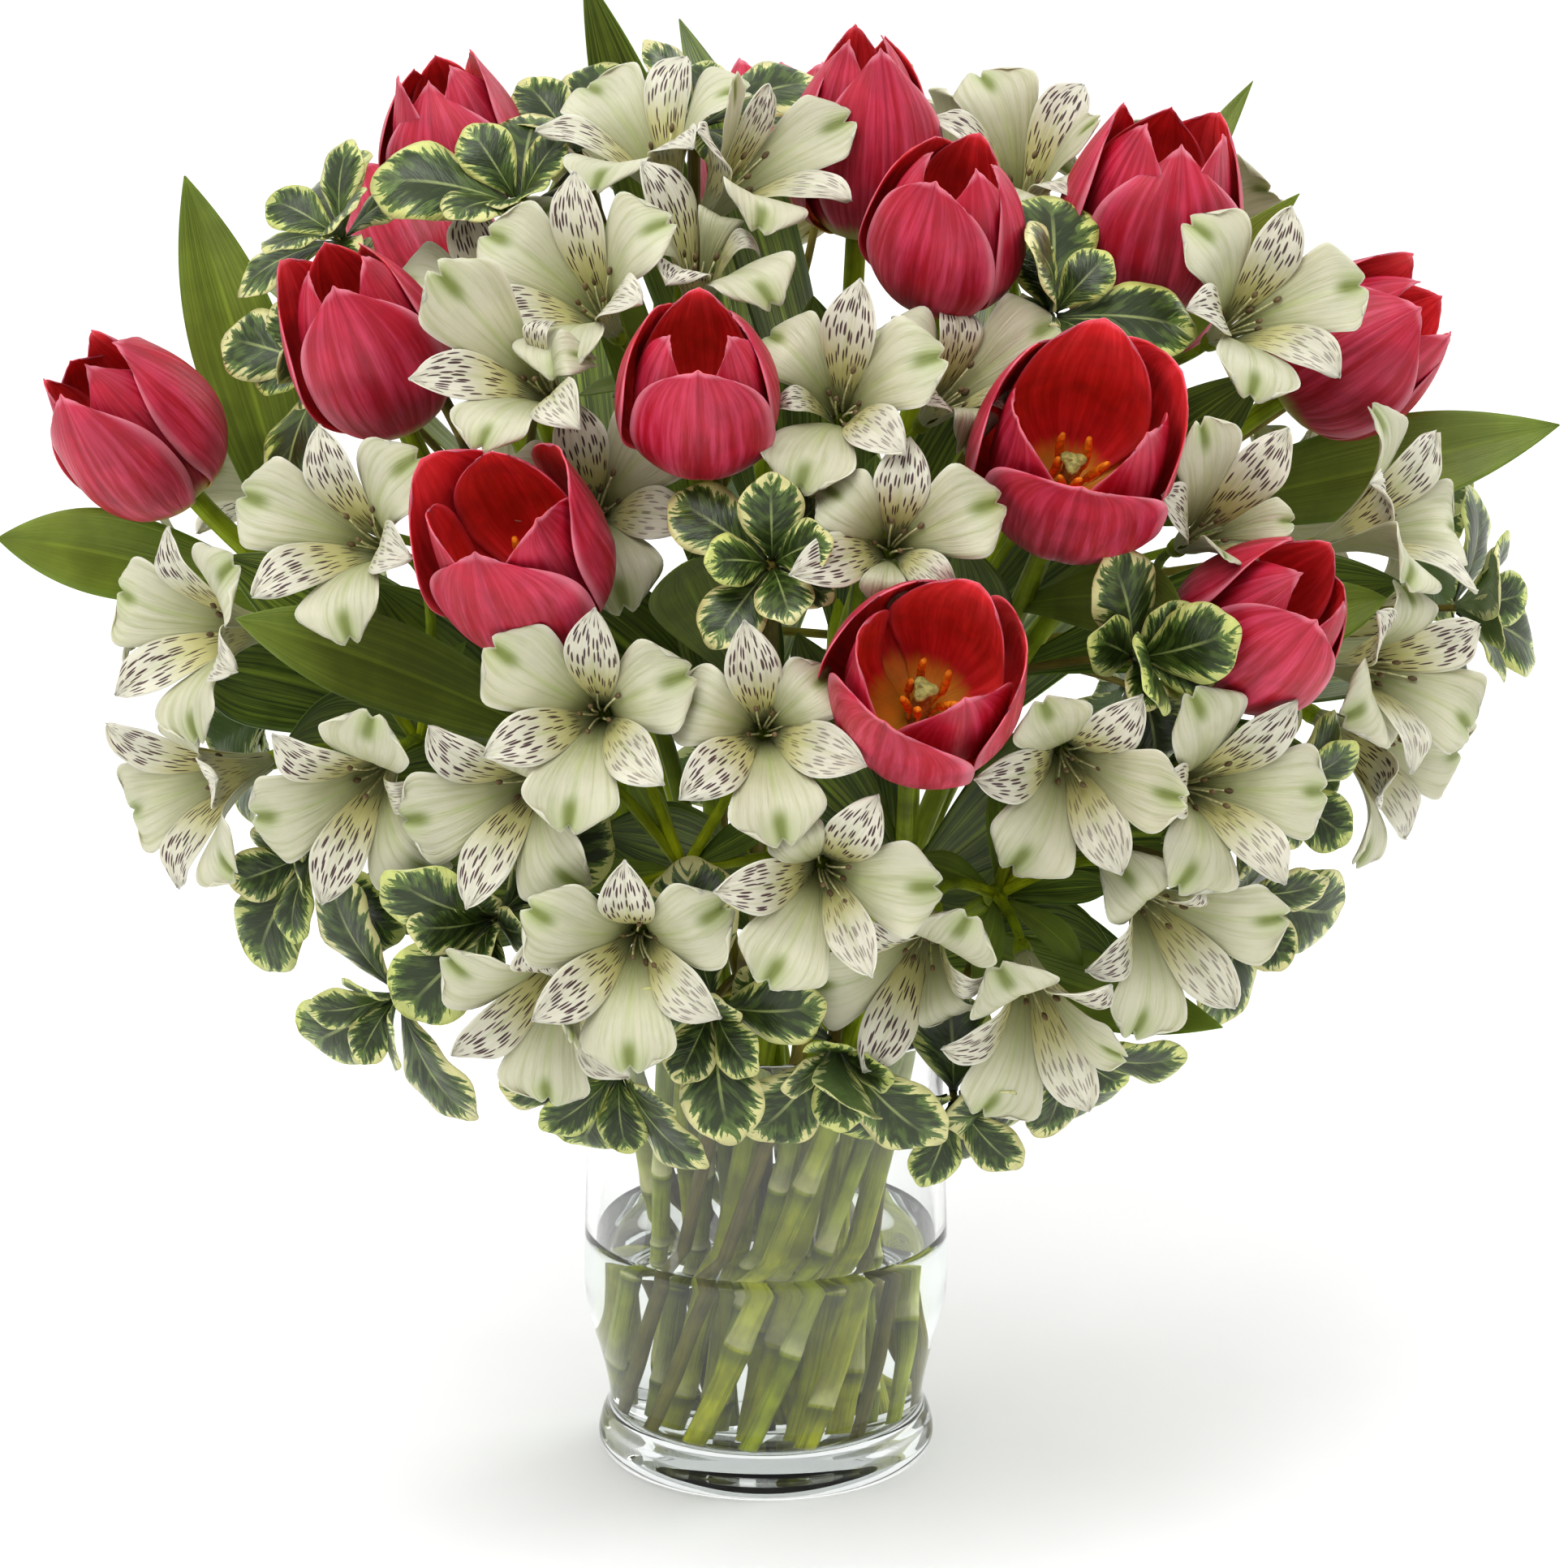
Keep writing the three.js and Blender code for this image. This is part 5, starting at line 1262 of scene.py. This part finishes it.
def tepals_of(turn):
    """Three outer tepals, the even ones, and three inner ones."""
    for k in range(6):
        outer = k % 2 == 0
        yield {"angle": k * 60 * DEGREE, "outer": outer, "reach": 25 if outer else 22.5,
               "cup": 1.0 if outer else 1.6,
               "curl": (5 if outer else 1) + 2.5 * np.sin(1.7 * k + turn),
               "dashes": 0.0 if outer else (1.0, 1.0, 0.55)[k // 2]}


def tepal_points(tepal, bend, s, w):
    """out = throat + reach times s to the 1.25; height = a rounded rise less a curl at the
    tip, cupped with the square of w; w is the way across in millimetres."""
    part, more = bend
    out = THROAT + tepal["reach"] * part * s**1.25
    height = THROAT_HIGH + 27 * (1 - (1 - s) ** 2.1) - (tepal["curl"] + more) * s**3
    return ray(tepal["angle"], out, w, height + tepal["cup"] * w**2 / 60)


def tepal_outline(bloom, tepal):
    """The corners of the plain tepal for one bend, to hold against its solid."""
    if tepal["outer"]:
        rows = np.array([[0.5, -8.2], [0.9, -11], [1, 0], [0.9, 11], [0.5, 8.2]])
    else:
        rows = np.array([[0.62, -6], [1, 0], [0.62, 6]])
    return lambda bend: place(tepal_points(tepal, bend, rows[:, 0], rows[:, 1] * bend[0]), bloom)


def tepal_surface(tepal, bend, u, v, phase):
    """The fine tepal. Its claw, the first part of v, rises from the ovary to the throat; past
    it the half width swells, the corners round off and an outer tip is notched."""
    s = swell(v, CLAW, 1)
    side = np.abs(u)
    if tepal["outer"]:
        half = 1.7 + 10.1 * ease(s, 0, 0.8) ** 1.5
        half *= np.sqrt(1 - 0.75 * swell(s, 0.72, 1) ** 2.2)
        long = 1 - 0.15 * side**2.4 - 0.075 * ridge(u, 0.17)
    else:
        narrow = 0.06 + 0.94 * (1 - swell(s, 0.52, 1) ** 1.9) ** 0.85
        half = (1.5 + 5.3 * ease(s, 0, 0.6)) * narrow
        long = 1 - 0.03 * side**2
    w = u * half * bend[0]
    points = tepal_points(tepal, bend, s * (1 - (1 - long) * s**2), w)
    ruffle = 0.9 * np.sin(4.5 * u + phase) * s**2 * side
    ruffle += 0.7 * np.sin(13 * s + phase) * side**3 * s
    fold = 0.5 * np.sin(np.pi * s) + (1.0 * swell(s, 0.7, 1) if tepal["outer"] else 0)
    points[..., 2] += ruffle - fold * ridge(u, 0.12)
    below = 1 - swell(v, 0, CLAW)
    return points - below[..., None] * ray(tepal["angle"], THROAT - CLAW_ROOT, 0,
                                           THROAT_HIGH - CLAW_FOOT)


def stalk_path(seat, end, top, steps):
    """A smooth way from end to the height `top` on the seat's axis: a quadratic Bezier curve
    that comes in from straight below."""
    end = seen_from(end, seat)
    below = -0.42 * np.linalg.norm(end) * UP
    return bezier(np.linspace(0, 1, steps)[:, None], end, below, top * UP)


def stamens(phase):
    """Six thin filaments of different lengths that rise from the throat, all lean to one
    side and end in a small anther."""
    shapes = []
    t = np.linspace(0, 1, 9)
    for k in range(6):
        angle = (k * 60 + 25 * np.sin(phase + k)) * DEGREE
        out = 1.0 + (3.2 + 1.8 * np.sin(2 * k + phase)) * t**1.6
        high = 5 + (13 + 4 * np.sin(3 * k + phase)) * t
        path = ray(angle, out, 0, high) + np.outer(2.2 * t**2, [1, 0, 0])
        shapes.append(stem(path, 0.34 - 0.1 * t, 6, finish=1))
        anther = path[-1] + np.linspace(-0.4, 1.9, 6)[:, None] * unit(path[-1] - path[-2])
        body = 0.2 + 0.5 * np.sin(np.pi * np.linspace(0.06, 0.94, 6))
        shapes.append(stem(anther, body, 6, kind=1.0, finish=1))
    return shapes


# %% Grow the alstroemeria heads
OVARY = [[0.5, -3.4], [1.4, -3.0], [2.1, -1.6], [2.5, 0.4], [2.3, 2.2], [1.7, 3.4], [0.4, 3.8]]
KNOT_HEIGHTS = np.array([-3.0, -2.4, -1, 1, 2.4, 3.0])
KNOT_RADII = [1.2, 2.4, 3.0, 3.0, 2.2, 1.0]
BRACTS, BRACT_LONG, BRACT_HALF, BRACT_THICK = 5, 25, 4.4, 0.5


def bract(k, tone):
    """A small leaf at the fork that stands out between the stalks, arches over the more the
    higher its tone is, and is cupped across."""
    u, t = across_and_along(16, 7)
    w = u * BRACT_HALF * leaf_width(t)
    up = 1 + 15 * t - 13 * t**2 * tone + 0.05 * w**2
    middle = ray(2 * np.pi * k / BRACTS + tone, 2 + BRACT_LONG * t, w, up)
    return blade(middle, BRACT_THICK, u, t, tone, finish=3)


def tepal_blade(bloom, tepal, corners, tone):
    """One fine tepal in the bend of its solid."""
    bend, _ = closest(TEPAL_BENDS, tepal_outline(bloom, tepal), corners)
    u, v = across_and_along(24, 15)
    middle = tepal_surface(tepal, bend, u, v, FULL_TURN * tone)
    return blade(middle, TEPAL_THICK, u, v, tone, tepal["dashes"])


tones = np.random.default_rng(13)
triangles = 0
for name, spray in sprays.items():
    node = f"alstroemeria_head_{name}"
    corners = solid_points(node)
    knot = KNOT_HEIGHTS[:, None] * spray["face"] + spray["base"]
    bracts = [bract(k, tones.random()) for k in range(BRACTS)]
    shapes = [stem(knot, KNOT_RADII, 14, finish=2), *placed(bracts, spray)]
    for bloom in spray["blooms"]:
        grown = [tepal_blade(bloom, tepal, corners, tones.random())
                 for tepal in tepals_of(bloom["turn"])]
        grown += stamens(FULL_TURN * tones.random())
        grown.append(lathe(OVARY, 14, tones.random(), finish=2))
        stalk = stalk_path(bloom, spray["base"], -3.0, 16)
        grown.append(stem(stalk, np.linspace(1.5, 1.15, 16), 10, tones.random(), finish=2))
        shapes += placed(grown, bloom)
    finishes = [alstroemeria_tepal, alstroemeria_stamen, alstroemeria_green, alstroemeria_leaf]
    triangles += grow(f"alstroemeria_{name}_blooms", node, shapes,
                      finishes)
print("alstroemeria heads:", triangles, "triangles")


# %% [markdown]
# ## Pittosporum
#
# The leaves of pittosporum stand in whorls at the ends of its twigs: four big ones spread
# out and smaller ones stand more upright between them. A leaf is blunt, widest beyond its
# middle, and its edge waves. The mark `kind` is how far inside the edge a point lies, which
# the finish turns into the cream margin.

# %% The shape of a pittosporum leaf
WHORL_LEAVES = 4
WHORL_LEAF = 34  # length of a big leaf
WHORL_STEP = 2 * np.pi / WHORL_LEAVES
LEAF_FOOT = 1.6  # how far from the axis of its twig a leaf starts
BLUNT_THICK = 0.6
LEAF_TILTS = [(part, bend) for part in (1, 0.85, 0.7, 0.55)
              for bend in (0, 12, -12, 24, -24, 36, -36)]


def whorl_axes(angle, tilt):
    """Three directions of a leaf: along it, across it, and out of its upper face."""
    outwards, side = ray(angle, 1, 0, 0), ray(angle, 0, 1, 0)
    along = outwards * np.sin(tilt) + UP * np.cos(tilt)
    return along, side, -np.cross(side, along)


def whorl_pose(whorl, k, bend):
    """Angle, tilt and length of big leaf k; every other one stands more upright."""
    sway = np.sin(3 * whorl["seed"] + 2.1 * k)
    tilt = ((60 if k % 2 else 82) + 9 * sway + bend[1]) * DEGREE
    return k * WHORL_STEP, tilt, WHORL_LEAF * (0.94 + 0.1 * sway) * bend[0]


def whorl_outline(whorl, k):
    """The corners of the plain leaf for one tilt, to hold against its solid."""
    rows = np.array([[0.34, -0.2, 0.03], [0.76, -0.34, 0.09], [1, 0, -0.08],
                     [0.76, 0.34, 0.03], [0.34, 0.2, 0.09]])

    def corners(bend):
        angle, tilt, long = whorl_pose(whorl, k, bend)
        along, side, lift = whorl_axes(angle, tilt)
        flat = (rows[:, :1] * long + LEAF_FOOT) * along
        return place(flat + rows[:, 1:2] * long * side + rows[:, 2:] * long * lift, whorl)

    return corners


def blunt_width(v):
    """Half width of a blunt leaf as a part of its length: a short stalk, then a swelling to
    its widest at seven tenths, then a round end."""
    rise = 0.035 + 0.30 * ease(v, 0.04, 0.7) ** 1.25
    return rise * np.sqrt(1 - swell(v, 0.66, 1.03) ** 2.4)


def blunt_leaf(angle, tilt, long, tone):
    """The fine leaf: along v, across by u times the width, lifted by an arch, a shallow fold
    at the rib, a bend down at the tip and waves at the edge."""
    u, v = across_and_along(20, 13)
    along, side, lift = whorl_axes(angle, tilt)
    w = u * blunt_width(v)
    s = v * (1 - 0.07 * np.abs(u) ** 2.2 * v)
    wave = 0.022 * np.sin(14 * v + 25 * tone) * np.abs(u) ** 2 * swell(v, 0.2, 0.5)
    high = 0.3 * s * (1 - s) - 0.07 * s**4 + 0.22 * np.abs(w) * (1 - np.abs(u)) + wave
    high = high + 0.05 * np.sin(FULL_TURN * tone) * u * s
    flat = (s * long + LEAF_FOOT)[..., None] * along + (w * long)[..., None] * side
    inward = np.minimum(1 - np.abs(u), (1 - v) * 2.4)
    inward = np.where(v < 0.12, np.maximum(inward, 0.5), inward)
    middle = flat + (high * long)[..., None] * lift
    return blade(middle, BLUNT_THICK, u, v, tone, np.clip(inward, 0, 1))


# %% Grow the pittosporum sprigs
BARK_JOINTS = above_neck(np.array([0.2, 0.45, 0.7]))
tones = np.random.default_rng(14)
triangles = 0
for name, whorls in sprigs.items():
    node = f"pittosporum_{name}"
    corners = solid_points(node)
    shapes = [stem_with_joints(stems[node], tones.random(), BARK_JOINTS, sides=12, finish=1)]
    for whorl in whorls:
        grown = []
        for k in range(WHORL_LEAVES):
            bend, _ = closest(LEAF_TILTS, whorl_outline(whorl, k), corners)
            grown.append(blunt_leaf(*whorl_pose(whorl, k, bend), tones.random()))
            tilt = (34 + 22 * tones.random()) * DEGREE
            long = WHORL_LEAF * (0.5 + 0.22 * tones.random())
            angle = (k + 0.5) * WHORL_STEP + 0.5 * (tones.random() - 0.5)
            grown.append(blunt_leaf(angle, tilt, long, tones.random()))
        if whorl["on_stem"] is not None:
            root = stem_point(stems[node], whorl["on_stem"])[0]
            twig = stalk_path(whorl, root, 1.0, 14)
            grown.append(stem(twig, np.linspace(1.25, 0.95, 14), 10, tones.random(), finish=1))
        shapes += placed(grown, whorl)
    triangles += grow(f"pittosporum_{name}_sprig", node, shapes,
                      [pittosporum_leaf, pittosporum_bark])
print("pittosporum sprigs:", triangles, "triangles")


# %% [markdown]
# ## Vase and water
#
# The vase is blown and turned: one profile carried round the axis, down the outside from the
# lip and back up the inside, with a thick solid foot that gathers the light. The packed
# profile has a few corners; a smooth curve through them is the real one. The water reaches a
# hair into the glass, because a film of air between them would mirror like silver.

# %% Glass and water
def clear(name, tint, bending):
    """Clear glass or water: full transmission with its index of refraction, and for light
    from the lamps a see-through shader, so that what stands inside is lit."""
    body = Finish(name, {"Base Color": tint, "Roughness": 0.0, "IOR": bending,
                         "Transmission Weight": 1.0})
    body.relief(body.noise(body.here(), 18.0, 1.0), 0.00012)
    lamp = body.node("ShaderNodeLightPath").outputs["Is Shadow Ray"]
    through = body.node("ShaderNodeBsdfTransparent", {"Color": tint}).outputs[0]
    both = body.node("ShaderNodeMixShader", {0: lamp, 1: body.shader.outputs[0], 2: through})
    body.feed(body.tree.nodes["Material Output"].inputs["Surface"], both.outputs[0])
    return body.material


def smooth_profile(corners, steps):
    """A cubic curve through the corners of a profile; at each corner it runs parallel to the
    line between the two corners beside it."""
    points = np.asarray(corners, float)
    points = np.concatenate([points[:1], points, points[-1:]])
    t = np.linspace(0, 1, steps, endpoint=False)[:, None]
    spans = []
    for a, b, c, d in zip(points, points[1:], points[2:], points[3:]):
        spans.append(0.5 * (2 * b + (c - a) * t + (2 * a - 5 * b + 4 * c - d) * t**2
                            + (3 * b - a - 3 * c + d) * t**3))
    return np.concatenate([*spans, points[-1:]])


OUTSIDE = [[41, 0.04], [43.4, 1.0], [44.5, 4.5], [43.4, 9.5], [41.5, 15], [43.4, 26], [47.2, 40],
           [48, 52], [47.4, 74], [46.6, 96], [47.2, 110], [48.8, 120]]
INSIDE = [[46.8, 121.2], [44.6, 110], [43.6, 96], [44.4, 74], [45, 52], [44.2, 40],
          [40.2, 24], [38.3, 16], [36, 11], [31, 9.1]]
LIP = [[48.8, 120], [48.9, 121], [48.4, 121.8], [47.6, 122], [46.9, 121.8], [46.7, 121.2]]
HOLLOW = [[0.6, 1.6], [20, 1.5], [34, 1.2], [37.5, 0.5], [38.5, 0.04]]  # under the foot
BOTTOM = np.array([[20, 9.0], [0.6, 9.0]])
WATER = 62
WETTED = 0.25  # how far the water reaches into the wall of the glass
SUNK = 0.2  # and how far into its bottom

inside = smooth_profile(INSIDE, 6)
outside, lip = smooth_profile(OUTSIDE, 6)[:-1], smooth_profile(LIP, 2)[:-1]
wall = np.concatenate([HOLLOW, outside, lip, inside, BOTTOM])
wet = inside[inside[:, 1] < WATER][::-1] + [WETTED, 0]
rim = float(np.interp(WATER, wet[:, 1], wet[:, 0]))
meniscus = [[rim, WATER + 0.4], [rim - 0.6, WATER + 0.12], [rim - 1.6, WATER + 0.02],
            [rim - 4, WATER], [20, WATER], [0.6, WATER]]
pool = np.concatenate([BOTTOM[::-1] - [0, SUNK], wet - [0, SUNK], meniscus])
glass = clear("vase_glass", (0.985, 0.995, 0.99), 1.5)
water = clear("clear_water", (0.97, 0.995, 0.985), 1.33)
triangles = grow("glass_vase", "vase", [lathe(wall, 128)], [glass])
triangles += grow("vase_water", "water", [lathe(pool, 96)], [water])
print("vase and water:", triangles, "triangles; water stands", WATER, "mm high")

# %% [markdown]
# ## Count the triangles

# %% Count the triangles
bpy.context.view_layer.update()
quads = sum(len(piece.data.polygons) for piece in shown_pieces() if piece.type == "MESH")
print("triangles in all:", 2 * quads)
